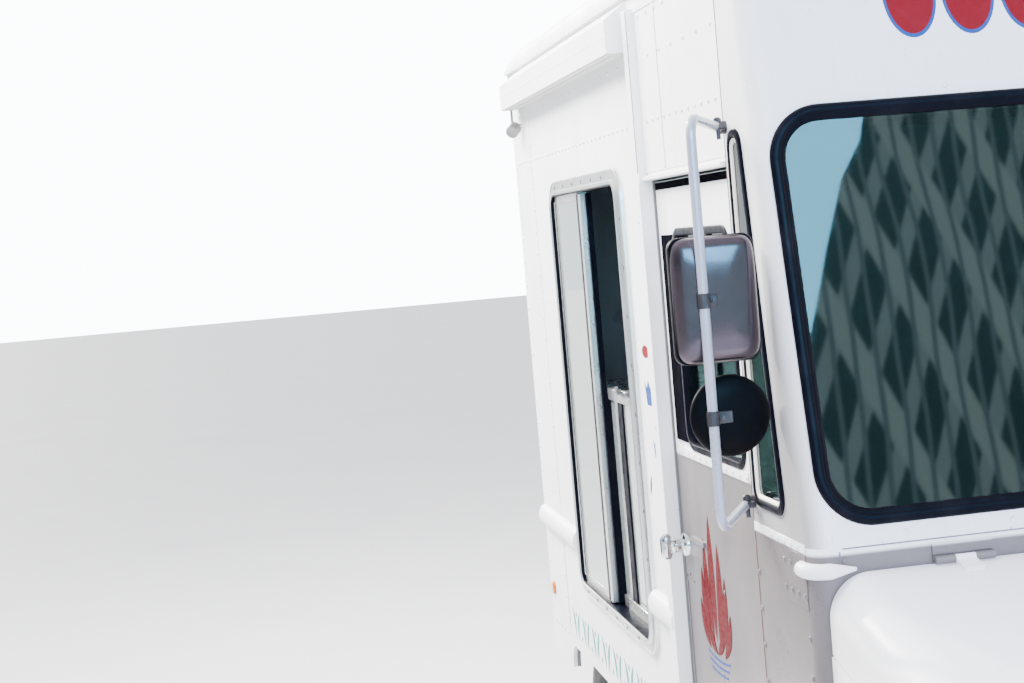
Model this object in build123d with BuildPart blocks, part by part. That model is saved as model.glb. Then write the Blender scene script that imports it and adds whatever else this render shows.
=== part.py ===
"""Short walk-in step van fitted out as an ice cream truck, in millimetres.

+X is forward, +Y is the driver's (street) side, -Y is the serving (kerb) side and +Z is up.
The origin is on the ground, under the middle of the whole vehicle.
"""
import math
import os

from build123d import *

# Whole vehicle
bumper_front_x = 2225
bumper_rear_x = -2225
body_width = 2134
skirt_z = 550
belt_z = 1470
side_top_z = 2750
roof_edge_z = 2880
roof_crown_z = 2940
roof_corner = 80
wall = 28
front_wall = 40
rear_wall = 40
firewall_t = 28
seam = 0.3

# Cab front: the raked face leans back from the belt line
cab_face_x = 1385
cab_rear_x = 975
rake_deg = 11.5
cab_corner = 45

# Windscreen and quarter windows
screen_low_z = 1516
screen_top_z = 2397
screen_margin = 52
screen_width = body_width - 2 * screen_margin
screen_corner = 105
glass_t = 6
lip_proud = 8
lip_over_panel = 12
lip_over_glass = 35
bead = 10
quarter_corner = 36
quarter_lip = 8
quarter_over_glass = 20
quarter_proud = 5
lip_t = 1
quarter_rear_x = 1017
quarter_low_z = 1524
quarter_top_z = 2358
quarter_front_in = 150
quarter_taper = 42

# Body rear
body_rear_x = -2005
rear_door_low_z = 775
rear_header = 250
rear_door_top_z = side_top_z - rear_header
rear_jamb = 64
rear_opening_half = body_width / 2 - rear_jamb
rear_door_gap = 8
rear_door_t = 34
rear_hinge_out = 15

# Cab doors
door_rear_x = 190
door_top_z = 2310
door_sill_z = 575
door_t = 35
door_recess = 20
door_gap = 8
door_head_gap = 28
door_hinge_in = 10
door_hinge_r = 8
door_window_low_z = 1580
door_window_top_z = 2150
door_window_rear_x = 345
door_window_front_x = 880
door_window_corner = 55
handle_in = 62
handle_z = 1305

# Serving window in the kerb side
serve_rear_x = -1255
serve_front_x = -115
serve_low_z = 905
serve_top_z = 2345
serve_corner = 85
serve_frame = 45
serve_proud = 7
stile_x = -660
stile_w = 45
shelf_z = 1650
sash_w = 24
sash_t = 8

# Chassis
wheel_r = 380
front_axle_x = 1465
rear_axle_x = -1175
rail_z = 540
rail_h = 150
rail_flange = 70
rail_web = 7
rail_in = 667
rail_y = body_width / 2 - rail_in
rail_front_x = 2080
rail_rear_x = -1965
sill_h = 40
floor_t = 40
floor_z = rail_z + rail_h + sill_h

# Wheels and tyres
tyre_w = 215
rim_r = 203
rim_w = 165
front_wheel_in = 207
rear_wheel_in = 269.5
track_front = body_width - 2 * front_wheel_in
dual_mid_y = body_width / 2 - rear_wheel_in
dual_spacing = 255
disc_offset = 127.5
hub_bore_r = 30.05
kingpin_in = 120
kingpin_y = track_front / 2 - kingpin_in
kingpin_r = 18
kingpin_clear = 0.05

# Wheel arches
arch_r = 470
arch_wall = 12
arch_in = 220
arch_in_y = kingpin_y - arch_in
rear_arch_half = 440
rear_arch_h = 95
rear_house_top_z = 850

# Nose and hood
nose_front_x = 2105
nose_in = 27
nose_half = body_width / 2 - nose_in
nose_skirt_z = 600
nose_back_z = 1418
nose_slope_deg = 13
nose_corner = 90
nose_wall = 18
hood_side_h = 165
hood_gap = 8
grille_half = 500
grille_low_z = 735
grille_top_z = 1020
lamp_in = 270
lamp_y = nose_half - lamp_in
lamp_z = 900
lamp_r = 88

# Awning box and mirrors
awning_front_x = 105
awning_rear_x = -1815
awning_down = 105
awning_low_z = side_top_z - awning_down
awning_deep = 65
awning_high = 90
mirror_tube_r = 11
mirror_x = 1244
mirror_out = 148
mirror_y = body_width / 2 + mirror_out
mirror_low_z = 1508
mirror_top_z = 2389
mirror_foot = 14

os.makedirs("parts", exist_ok=True)

half = body_width / 2
rake = math.radians(rake_deg)
sides = ((-1, "right"), (1, "left"))
screen_plane = Plane(
    origin=(cab_face_x, 0, belt_z),
    x_dir=(0, 1, 0),
    z_dir=(math.cos(rake), 0, math.sin(rake)),
)


def side_plane(side, depth=0):
    """Upright plane on one side of the body, depth inside the outer skin, seen as X and Z."""
    return Plane.XZ.offset(-side * (half - depth))


def face_x(z):
    """X of the raked cab face at height z."""
    return cab_face_x - (z - belt_z) * math.tan(rake)


def along_face(z):
    """Distance up the raked face from the belt line to height z."""
    return (z - belt_z) / math.cos(rake)


# Chassis rails: two channels with their open sides facing inwards.
with BuildPart() as frame_rails:
    with BuildSketch(Plane.YZ.offset(rail_rear_x)):
        for side, hand in sides:
            with Locations((side * rail_y, rail_z + rail_h / 2)):
                Rectangle(rail_flange, rail_h)
            with Locations((side * (rail_y - rail_web), rail_z + rail_h / 2)):
                Rectangle(rail_flange, rail_h - 2 * rail_web, mode=Mode.SUBTRACT)
    extrude(amount=rail_front_x - rail_rear_x)
frame_rails.part.label = "frame_rails"
export_step(frame_rails.part, "parts/frame_rails.step")

# Crossmembers: channels between the rail webs. Columns: x, height of the lower edge.
cross_size = 60
cross_web = 6
cross_half = rail_y + rail_flange / 2 - rail_web
engine_rest_z = rail_z + rail_web + 5 + cross_size
crossmembers_at = (
    (2040, rail_z + 20),
    (1700, engine_rest_z - cross_size),
    (450, rail_z + 75),
    (-350, rail_z + 75),
    (-1500, rail_z + 75),
    (-1930, rail_z + 45),
)
with BuildPart() as frame_crossmembers:
    for x, low_z in crossmembers_at:
        with BuildSketch(Plane.XZ):
            with Locations((x, low_z + cross_size / 2)):
                Rectangle(cross_size, cross_size)
            with Locations((x + cross_web, low_z + cross_size / 2)):
                Rectangle(cross_size, cross_size - 2 * cross_web, mode=Mode.SUBTRACT)
        extrude(amount=cross_half, both=True)
frame_crossmembers.part.label = "frame_crossmembers"
export_step(frame_crossmembers.part, "parts/frame_crossmembers.step")

# Leaf springs: curved leaves of shortening length, each with an eye hung from the rail.
leaf_t = 10
leaf_w = 62
eye_r = 20


def leaf_pack(x, y, seat_z, half_span, rise, shares):
    """Stack of curved leaves on a seat, with two eyes and their hangers."""
    bend_r = (half_span**2 + rise**2) / (2 * rise)
    centre_z = seat_z + bend_r + leaf_t * len(shares)
    eye_z = centre_z - math.sqrt(bend_r**2 - half_span**2)
    with BuildPart() as pack:
        for row, share in enumerate(shares):
            with BuildSketch(Plane.XZ.offset(-y)):
                with Locations((x, centre_z)):
                    Circle(bend_r + (row + 1) * leaf_t)
                    Circle(bend_r + row * leaf_t, mode=Mode.SUBTRACT)
                with Locations((x, seat_z)):
                    Rectangle(2 * half_span * share, 4 * rise + 200, mode=Mode.INTERSECT)
            extrude(amount=leaf_w / 2, both=True)
        for end in (-1, 1):
            with BuildSketch(Plane.XZ.offset(-y)):
                with Locations((x + end * half_span, eye_z)):
                    Circle(eye_r)
                with Locations((x + end * half_span, (eye_z + rail_z) / 2)):
                    Rectangle(1.6 * eye_r, rail_z - eye_z)
            extrude(amount=leaf_w / 2, both=True)
    return pack.part


# Front axle: dropped beam with kingpin bosses at its ends, and the leaf springs on its seats.
beam_low_z = 262
beam_h = 62
beam_w = 70
beam_end = 30
beam_flat = 130
beam_drop = 210
boss_r = 42
boss_h = 90
front_leaves = (1, 0.8, 0.6, 0.4)
with BuildPart() as front_axle:
    with BuildSketch(Plane.YZ.offset(front_axle_x)):
        with BuildLine():
            Polyline(
                (-kingpin_y, wheel_r + beam_end),
                (-kingpin_y + beam_flat, wheel_r + beam_end),
                (-kingpin_y + beam_drop, beam_low_z + beam_h),
                (kingpin_y - beam_drop, beam_low_z + beam_h),
                (kingpin_y - beam_flat, wheel_r + beam_end),
                (kingpin_y, wheel_r + beam_end),
                (kingpin_y, wheel_r - beam_end),
                (kingpin_y - beam_flat - 10, wheel_r - beam_end),
                (kingpin_y - beam_drop - 10, beam_low_z),
                (-kingpin_y + beam_drop + 10, beam_low_z),
                (-kingpin_y + beam_flat + 10, wheel_r - beam_end),
                (-kingpin_y, wheel_r - beam_end),
                close=True,
            )
        make_face()
    extrude(amount=beam_w / 2, both=True)
    with Locations((front_axle_x, 0, beam_low_z + beam_h / 2)):
        for face in (-1, 1):
            with Locations((face * beam_w / 2, 0, 0)):
                Box(36, 2 * (kingpin_y - beam_drop - 30), beam_h - 26, mode=Mode.SUBTRACT)
    for side, hand in sides:
        with Locations((front_axle_x, side * kingpin_y, wheel_r)):
            Cylinder(boss_r, boss_h)
            Cylinder(kingpin_r + kingpin_clear, boss_h, mode=Mode.SUBTRACT)
        add(leaf_pack(front_axle_x, side * rail_y, beam_low_z + beam_h, 560, 105, front_leaves))
        with Locations((front_axle_x, side * rail_y, beam_low_z + beam_h + 2)):
            Box(110, leaf_w + 24, 16)
front_axle.part.label = "front_axle"
export_step(front_axle.part, "parts/front_axle.step")

# Rear axle: tube with the final drive in its middle, spring packs on top.
tube_r = 58
tube_in = 237.5
final_drive_r = 150
pinion_r = 62
pinion_front = 250
rear_leaves = (1, 0.82, 0.64, 0.46, 0.3)
stub_out = 18
with BuildPart() as rear_axle:
    with Locations((rear_axle_x, 0, wheel_r)):
        Cylinder(tube_r, 2 * (dual_mid_y - tube_in), rotation=(90, 0, 0))
        Cylinder(hub_bore_r - kingpin_clear, 2 * (dual_mid_y + 60), rotation=(90, 0, 0))
        Sphere(final_drive_r)
    with Locations((rear_axle_x + pinion_front / 2, 0, wheel_r)):
        Cylinder(pinion_r, pinion_front, rotation=(0, 90, 0))
    for side, hand in sides:
        seat_z = wheel_r + tube_r
        add(leaf_pack(rear_axle_x, side * rail_y, seat_z, 560, 30, rear_leaves))
        with Locations((rear_axle_x, side * rail_y, wheel_r + tube_r / 2 + 5)):
            Box(110, leaf_w + 24, tube_r + 10)
rear_axle.part.label = "rear_axle"
export_step(rear_axle.part, "parts/rear_axle.step")

# Knuckles: forks round the axle bosses, a fixed kingpin and a spindle for the wheel.
ear_t = 28
ear_clear = 0.3
web_in = 60
web_t = 26
spindle_end = 108
for side, hand in sides:
    with BuildPart() as knuckle:
        with Locations((front_axle_x, side * kingpin_y, wheel_r)):
            Cylinder(kingpin_r, boss_h + 2 * ear_t)
        for level in (-1, 1):
            ear_mid_z = wheel_r + level * (boss_h / 2 + ear_clear + ear_t / 2)
            with Locations((front_axle_x, side * kingpin_y, ear_mid_z)):
                Cylinder(boss_r - 4, ear_t)
            with Locations((front_axle_x, side * (kingpin_y + web_in / 2), ear_mid_z)):
                Box(64, web_in, ear_t)
        web_y = side * (kingpin_y + web_in + web_t / 2)
        with Locations((front_axle_x, web_y, wheel_r)):
            Box(84, web_t, boss_h + 2 * (ear_t + ear_clear))
        spindle_in_y = kingpin_y + web_in + web_t / 2
        spindle_out_y = track_front / 2 + spindle_end
        with Locations((front_axle_x, side * (spindle_in_y + spindle_out_y) / 2, wheel_r)):
            Cylinder(hub_bore_r - kingpin_clear, spindle_out_y - spindle_in_y, rotation=(90, 0, 0))
        steer_arm_z = wheel_r - boss_h / 2 - ear_clear - ear_t / 2
        with Locations((front_axle_x - 95, side * (kingpin_y + 15), steer_arm_z)):
            Box(150, 30, ear_t - 6)
    knuckle.part.label = f"knuckle_{hand}"
    export_step(knuckle.part, f"parts/knuckle_{hand}.step")

# Tyres: one round-shouldered section turned about the axle.
tread_half = 88
shoulder_r = 332
belly_r = 290
bead_half = 72


def wheel_plane(x, y, side):
    """Plane through the axle: first axis up along the radius, second axis outwards."""
    return Plane(origin=(x, y, wheel_r), x_dir=(0, 0, 1), z_dir=(-side, 0, 0))


def tyre_at(x, y, side):
    """Turned tyre at a place on an axle."""
    with BuildPart() as tyre:
        with BuildSketch(wheel_plane(x, y, side)):
            with BuildLine():
                Polyline(
                    (rim_r + seam, -bead_half),
                    (rim_r + 14, -bead_half - 1),
                    (belly_r - 45, -tyre_w / 2 + 9),
                    (belly_r, -tyre_w / 2),
                    (shoulder_r, -tyre_w / 2 + 5),
                    (wheel_r - 9, -tread_half),
                    (wheel_r, 0),
                    (wheel_r - 9, tread_half),
                    (shoulder_r, tyre_w / 2 - 5),
                    (belly_r, tyre_w / 2),
                    (belly_r - 45, tyre_w / 2 - 9),
                    (rim_r + 14, bead_half + 1),
                    (rim_r + seam, bead_half),
                    close=True,
                )
            make_face()
        revolve(axis=Axis((x, y, wheel_r), (0, 1, 0)))
    return tyre.part


# Rims: one steel disc wheel, used dished out in front and back to back at the rear.
disc_t = 9
stud_pcd_r = 92
stud_r = 9
stud_count = 8
hand_hole_r = 19
hand_hole_at = 138


def rim_at(x, y, side):
    """Turned steel wheel whose mounting face lies outboard of its middle, with hand holes."""
    with BuildPart() as rim:
        with BuildSketch(wheel_plane(x, y, side)):
            with BuildLine():
                Polyline(
                    (rim_r - 12, -rim_w / 2),
                    (rim_r + 10, -rim_w / 2),
                    (rim_r + 10, -rim_w / 2 + 6),
                    (rim_r, -rim_w / 2 + 8),
                    (rim_r, rim_w / 2 - 8),
                    (rim_r + 10, rim_w / 2 - 6),
                    (rim_r + 10, rim_w / 2),
                    (rim_r - 12, rim_w / 2),
                    (rim_r - 14, 45),
                    (170, 92),
                    (128, disc_offset),
                    (55, disc_offset),
                    (55, disc_offset - disc_t),
                    (123, disc_offset - disc_t),
                    (160, 84),
                    (rim_r - 22, 30),
                    (rim_r - 12, 10),
                    close=True,
                )
            make_face()
        revolve(axis=Axis((x, y, wheel_r), (0, 1, 0)))
        disc_plane = Plane(origin=(x, y, wheel_r), x_dir=(0, 0, 1), z_dir=(0, side, 0))
        with BuildSketch(disc_plane):
            with PolarLocations(hand_hole_at, stud_count):
                Circle(hand_hole_r)
        extrude(amount=disc_offset + 5, mode=Mode.SUBTRACT)
    return rim.part


# Front wheels: rim, hub with brake disc and a closed cap over the spindle.
hub_in = -20
hub_r = 74
hub_cap_out = 148
brake_r = 150
for side, hand in sides:
    wheel_y = side * track_front / 2
    tyre_front = tyre_at(front_axle_x, wheel_y, side)
    tyre_front.label = f"tyre_front_{hand}"
    export_step(tyre_front, f"parts/tyre_front_{hand}.step")
    with BuildPart() as wheel_front:
        add(rim_at(front_axle_x, wheel_y, side))
        with BuildSketch(wheel_plane(front_axle_x, wheel_y, side)):
            with BuildLine():
                Polyline(
                    (hub_bore_r, hub_in),
                    (brake_r, hub_in),
                    (brake_r, hub_in + 18),
                    (hub_r, hub_in + 18),
                    (hub_r, disc_offset - disc_t + 1),
                    (54, disc_offset + 3),
                    (48, hub_cap_out),
                    (0, hub_cap_out + 4),
                    (0, spindle_end + 4),
                    (hub_bore_r, spindle_end + 4),
                    close=True,
                )
            make_face()
        revolve(axis=Axis((front_axle_x, wheel_y, wheel_r), (0, 1, 0)))
        stud_plane = Plane(
            origin=(front_axle_x, wheel_y + side * (disc_offset - 2), wheel_r),
            x_dir=(0, 0, 1),
            z_dir=(0, side, 0),
        )
        with BuildSketch(stud_plane):
            with PolarLocations(stud_pcd_r, stud_count):
                RegularPolygon(stud_r + 4, 6)
        extrude(amount=20)
    wheel_front.part.label = f"wheel_front_{hand}"
    export_step(wheel_front.part, f"parts/wheel_front_{hand}.step")

# Rear twin wheels: two rims back to back on one hub and drum.
drum_r = 168
for side, hand in sides:
    outer_y = side * (dual_mid_y + dual_spacing / 2)
    inner_y = side * (dual_mid_y - dual_spacing / 2)
    with BuildPart() as tyres_rear:
        add(tyre_at(rear_axle_x, outer_y, side))
        add(tyre_at(rear_axle_x, inner_y, side))
    tyres_rear.part.label = f"tyres_rear_{hand}"
    export_step(tyres_rear.part, f"parts/tyres_rear_{hand}.step")
    with BuildPart() as wheels_rear:
        add(rim_at(rear_axle_x, outer_y, -side))
        add(rim_at(rear_axle_x, inner_y, side))
        with BuildSketch(wheel_plane(rear_axle_x, side * dual_mid_y, side)):
            with BuildLine():
                Polyline(
                    (hub_bore_r, -230),
                    (drum_r, -230),
                    (drum_r, -130),
                    (hub_r, -118),
                    (hub_r, 8),
                    (66, 90),
                    (0, 96),
                    (0, 64),
                    (hub_bore_r, 64),
                    close=True,
                )
            make_face()
        revolve(axis=Axis((rear_axle_x, side * dual_mid_y, wheel_r), (0, 1, 0)))
        nut_plane = Plane(
            origin=(rear_axle_x, side * (dual_mid_y + disc_t - 2), wheel_r),
            x_dir=(0, 0, 1),
            z_dir=(0, side, 0),
        )
        with BuildSketch(nut_plane):
            with PolarLocations(stud_pcd_r, stud_count):
                RegularPolygon(stud_r + 4, 6)
        extrude(amount=22)
    wheels_rear.part.label = f"wheels_rear_{hand}"
    export_step(wheels_rear.part, f"parts/wheels_rear_{hand}.step")

# Engine and drive line: plain block, gearbox and the shaft down to the final drive.
engine_front_x = 1900
engine_back_x = 1120
engine_side = 95
engine_half = rail_y - rail_flange / 2 - engine_side
engine_top_z = 1150
gearbox_back_x = 700
shaft_r = 40
shaft_front_z = 500
pinion_face_x = rear_axle_x + pinion_front
with BuildPart() as engine:
    with Locations(((engine_front_x + engine_back_x) / 2, 0, (engine_rest_z + engine_top_z) / 2)):
        Box(engine_front_x - engine_back_x, 2 * engine_half, engine_top_z - engine_rest_z)
    chamfer(engine.edges().filter_by(Axis.X).group_by(Axis.Z)[-1], 80)
    with BuildSketch(Plane.YZ.offset(gearbox_back_x)):
        with Locations((0, shaft_front_z)):
            Circle(95)
    with BuildSketch(Plane.YZ.offset(engine_back_x + 1)):
        with Locations((0, engine_rest_z + 28)):
            Circle(125)
    loft()
    shaft_drop = shaft_front_z - wheel_r
    shaft_run = gearbox_back_x - pinion_face_x
    shaft_plane = Plane(
        origin=(gearbox_back_x + 10, 0, shaft_front_z + 10 * shaft_drop / shaft_run),
        z_dir=(-shaft_run, 0, -shaft_drop),
    )
    with BuildSketch(shaft_plane):
        Circle(shaft_r)
    extrude(amount=math.hypot(shaft_run, shaft_drop) + 6)
    split(bisect_by=Plane.YZ.offset(pinion_face_x + seam), keep=Keep.TOP)
engine.part.label = "engine"
export_step(engine.part, "parts/engine.step")

# Fuel tank under the street side, strapped to the rail.
tank_front_x = 150
tank_rear_x = -560
tank_low_z = 390
tank_deep = 300
tank_in_y = rail_y + rail_flange / 2
with BuildPart() as fuel_tank:
    with Locations(((tank_front_x + tank_rear_x) / 2, tank_in_y + tank_deep / 2, (tank_low_z + 670) / 2)):
        Box(tank_front_x - tank_rear_x, tank_deep, 670 - tank_low_z)
    fillet(fuel_tank.edges().filter_by(Axis.X), 50)
    for strap_x in (tank_rear_x + 130, tank_front_x - 130):
        with BuildSketch(Plane.YZ.offset(strap_x - 20)):
            with Locations((tank_in_y + tank_deep / 2, (tank_low_z + 670) / 2)):
                RectangleRounded(tank_deep + 8, 670 - tank_low_z + 8, 54)
            with Locations((tank_in_y - 4, (tank_low_z + 670) / 2)):
                Rectangle(8, 400, mode=Mode.SUBTRACT)
        extrude(amount=40)
fuel_tank.part.label = "fuel_tank"
export_step(fuel_tank.part, "parts/fuel_tank.step")

# Exhaust on the kerb side: pipe, silencer and a tail pipe that leaves ahead of the rear wheels.
pipe_r = 27
silencer_out = 160
silencer_y = -rail_y - silencer_out
silencer_z = 500
with BuildPart() as exhaust:
    with BuildLine() as exhaust_path:
        FilletPolyline(
            (1150, -engine_half - pipe_r - seam, 640),
            (1000, -engine_half - pipe_r - seam, silencer_z),
            (850, -engine_half - pipe_r - seam, silencer_z),
            (700, silencer_y, silencer_z),
            (-480, silencer_y, silencer_z),
            (-600, silencer_y - 90, silencer_z),
            (-640, -half + 40, silencer_z - 40),
            radius=60,
        )
    with BuildSketch(Plane(origin=exhaust_path.line @ 0, z_dir=exhaust_path.line % 0)):
        Circle(pipe_r)
    sweep()
    with BuildSketch(Plane.YZ.offset(-330)):
        with Locations((silencer_y, silencer_z)):
            Ellipse(115, 75)
    extrude(amount=560)
    for hanger_x in (-250, 150):
        with Locations((hanger_x, silencer_y + 60, 600)):
            Box(30, 12, 130)
        with Locations((hanger_x, (silencer_y + 54 - rail_y - rail_flange / 2) / 2, 655)):
            Box(30, abs(silencer_y + 54 + rail_y + rail_flange / 2), 10)
exhaust.part.label = "exhaust"
export_step(exhaust.part, "parts/exhaust.step")

# Floor: plate on cross sills, step wells at the cab doors, raised boxes over the rear wheels.
floor_half = half - wall
step_deep_in = 367
step_in_y = half - step_deep_in
step_t = 14
door_in_y = half - door_recess - door_t - 6
seat_x = 600
seat_from_step = 230
seat_y = step_in_y - seat_from_step
seat_w = 470
cushion_z = 1070
cushion_t = 115
toe_x = cab_face_x - firewall_t
engine_box_gap = 60
engine_box_half = engine_half + engine_box_gap
engine_box_rear_x = 990
engine_box_top_z = 1215
engine_box_t = 15
sills_x = (760, 250, -350, -640, -1720, -1930)
with BuildPart() as floor:
    with Locations(((body_rear_x + rear_wall + cab_rear_x) / 2, 0, floor_z + floor_t / 2)):
        Box(cab_rear_x - body_rear_x - rear_wall, 2 * floor_half, floor_t)
    with Locations(((cab_rear_x + toe_x) / 2, 0, floor_z + floor_t / 2)):
        Box(toe_x - cab_rear_x, 2 * floor_half, floor_t)
    for side, hand in sides:
        house_in_y = arch_in_y - arch_wall - seam
        with Locations((front_axle_x, side * (house_in_y + half) / 2, wheel_r)):
            Cylinder(arch_r + arch_wall + seam, half - house_in_y, rotation=(90, 0, 0), mode=Mode.SUBTRACT)
    with Locations((cab_face_x, 0, floor_z + floor_t / 2)):
        Box(2 * (cab_face_x - engine_box_rear_x - engine_box_t), 2 * (engine_box_half - engine_box_t),
            floor_t + 2, mode=Mode.SUBTRACT)
    for x in sills_x:
        reach = step_in_y if x > door_rear_x else floor_half
        with Locations((x, 0, floor_z - sill_h / 2)):
            Box(50, 2 * reach, sill_h)
    for side, hand in sides:
        well_mid_x = (door_rear_x + cab_rear_x) / 2
        well_len = cab_rear_x - door_rear_x
        with Locations((well_mid_x, side * (floor_half + step_in_y) / 2, floor_z + floor_t / 2)):
            Box(well_len, floor_half - step_in_y, floor_t, mode=Mode.SUBTRACT)
        riser_h = floor_z + floor_t - skirt_z
        with Locations((well_mid_x - step_t / 2, side * (step_in_y - step_t / 2), skirt_z + riser_h / 2)):
            Box(well_len + step_t, step_t, riser_h)
        with Locations((well_mid_x, side * (step_in_y + half) / 2 - side * step_t / 2, skirt_z + step_t / 2)):
            Box(well_len, half - step_in_y + step_t, step_t)
        with Locations((door_rear_x - step_t / 2, side * (step_in_y + floor_half) / 2, skirt_z + riser_h / 2)):
            Box(step_t, floor_half - step_in_y, riser_h)
        with Locations((cab_rear_x - step_t / 2, side * (step_in_y + door_in_y) / 2, skirt_z + riser_h / 2)):
            Box(step_t, door_in_y - step_in_y, riser_h)
        house_w = floor_half - arch_in_y + arch_wall
        house_h = rear_house_top_z - floor_z
        with Locations((rear_axle_x, side * (floor_half - house_w / 2), floor_z + house_h / 2)):
            Box(2 * (rear_arch_half + arch_wall), house_w, house_h)
        with Locations((rear_axle_x, side * (floor_half + arch_in_y) / 2, floor_z + house_h / 2 - arch_wall)):
            Box(2 * rear_arch_half, floor_half - arch_in_y, house_h, mode=Mode.SUBTRACT)
    with BuildSketch(Plane.XY.offset(floor_z + floor_t)):
        with Locations((seat_x, seat_y)):
            RectangleRounded(360, 360, 40)
    extrude(amount=cushion_z - seam - floor_z - floor_t, taper=4)
floor.part.label = "floor"
export_step(floor.part, "parts/floor.step")

# Body forms shared by the cab front and the roof
form_reach = 4000


def raked_form(inner, low_z, top_z):
    """Block whose front leans back with the cab face, with rounded upright corners."""
    side_in = wall if inner else 0
    face_in = front_wall / math.cos(rake) if inner else 0
    corner = cab_corner - wall if inner else cab_corner
    with BuildPart() as form:
        with BuildSketch(Plane.XY.offset(low_z)) as plan:
            with Locations((face_x(low_z) - face_in - form_reach / 2, 0)):
                Rectangle(form_reach, body_width - 2 * side_in)
            fillet(plan.vertices().group_by(Axis.X)[-1], corner)
        extrude(amount=(top_z - low_z) / math.cos(rake), dir=(-math.tan(rake), 0, 1))
    return form.part


def quarter_outline(plane, grow):
    """Quarter window outline, whose front edge follows the rake, grown evenly."""
    with BuildSketch(plane) as outline:
        with BuildLine():
            Polyline(
                (quarter_rear_x, quarter_low_z),
                (face_x(quarter_low_z) - quarter_front_in, quarter_low_z),
                (face_x(quarter_top_z) - quarter_front_in + quarter_taper, quarter_top_z),
                (quarter_rear_x, quarter_top_z),
                close=True,
            )
        make_face()
        if grow:
            offset(amount=grow, kind=Kind.INTERSECTION)
        fillet(outline.vertices(), quarter_corner + grow)
    return outline.sketch


def screen_outline(depth, grow):
    """Windscreen outline on the raked face, depth inside it, grown evenly."""
    low = along_face(screen_low_z)
    top = along_face(screen_top_z)
    with BuildSketch(screen_plane.offset(-depth)) as outline:
        with Locations((0, (low + top) / 2)):
            RectangleRounded(screen_width + 2 * grow, top - low + 2 * grow, screen_corner + grow)
    return outline.sketch


# Door hinges: three knuckles each, the outer two on the body and the middle one on the door.
door_hinge_x = cab_rear_x - door_hinge_in
door_hinge_y = half - door_hinge_r - 2
door_hinge_zs = (door_sill_z + 155, belt_z - 90, door_top_z - 150)
hinge_len = 132
hinge_gap = 0.3
knuckle_len = (hinge_len - 2 * hinge_gap) / 3


def door_hinge_half(side, levels):
    """Body knuckles of the cab door hinges at the given heights, with their web."""
    for z in levels:
        for step in (-1, 1):
            knuckle_z = z + step * (knuckle_len + hinge_gap)
            with Locations((door_hinge_x, side * door_hinge_y, knuckle_z)):
                Cylinder(door_hinge_r, knuckle_len)
            with Locations((door_hinge_x + door_hinge_in / 2, side * door_hinge_y, knuckle_z)):
                Box(door_hinge_in, 10, knuckle_len)


# Cab front above the belt: raked face, corner posts and quarter panels in one pressing.
with BuildPart() as cab_front:
    add(raked_form(False, belt_z, side_top_z))
    add(raked_form(True, belt_z - 1, side_top_z + 1), mode=Mode.SUBTRACT)
    with Locations((cab_rear_x - form_reach / 2, 0, (belt_z + side_top_z) / 2)):
        Box(form_reach, 2 * body_width, 2 * side_top_z, mode=Mode.SUBTRACT)
    extrude(screen_outline(-10, 0), amount=-front_wall - 20, mode=Mode.SUBTRACT)
    for side, hand in sides:
        extrude(quarter_outline(side_plane(side, -5), 0), amount=side * (wall + 10), mode=Mode.SUBTRACT)
        door_hinge_half(side, door_hinge_zs[2:])
cab_front.part.label = "cab_front"
export_step(cab_front.part, "parts/cab_front.step")

# Cowl below the belt: firewall, side panels, wheel houses, engine cover and hinge halves.
slope = math.radians(nose_slope_deg)
hood_top = Plane(
    origin=(cab_face_x, 0, nose_back_z),
    x_dir=(math.cos(slope), 0, -math.sin(slope)),
    z_dir=(math.sin(slope), 0, math.cos(slope)),
)
hood_pin_along = 15
hood_pin_up = 10
hood_pin_r = 8
hood_hinge_in = 299
hood_hinge_y = nose_half - hood_hinge_in


def wheel_house(side, front_x, rear_x, low_z, out_y):
    """Half ring over a front wheel with its inner wall, between two X, out to one Y."""
    with BuildSketch(Plane.XZ.offset(-side * (arch_in_y - arch_wall))) as house:
        with Locations((front_axle_x, wheel_r)):
            Circle(arch_r + arch_wall)
        with Locations(((front_x + rear_x) / 2, (low_z + belt_z) / 2)):
            Rectangle(front_x - rear_x, belt_z - low_z, mode=Mode.INTERSECT)
    extrude(house.sketch, amount=-side * (out_y - arch_in_y + arch_wall))
    with BuildSketch(Plane.XZ.offset(-side * arch_in_y)) as space:
        with Locations((front_axle_x, wheel_r)):
            Circle(arch_r)
    extrude(space.sketch, amount=-side * (half + 1 - arch_in_y), mode=Mode.SUBTRACT)


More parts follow.
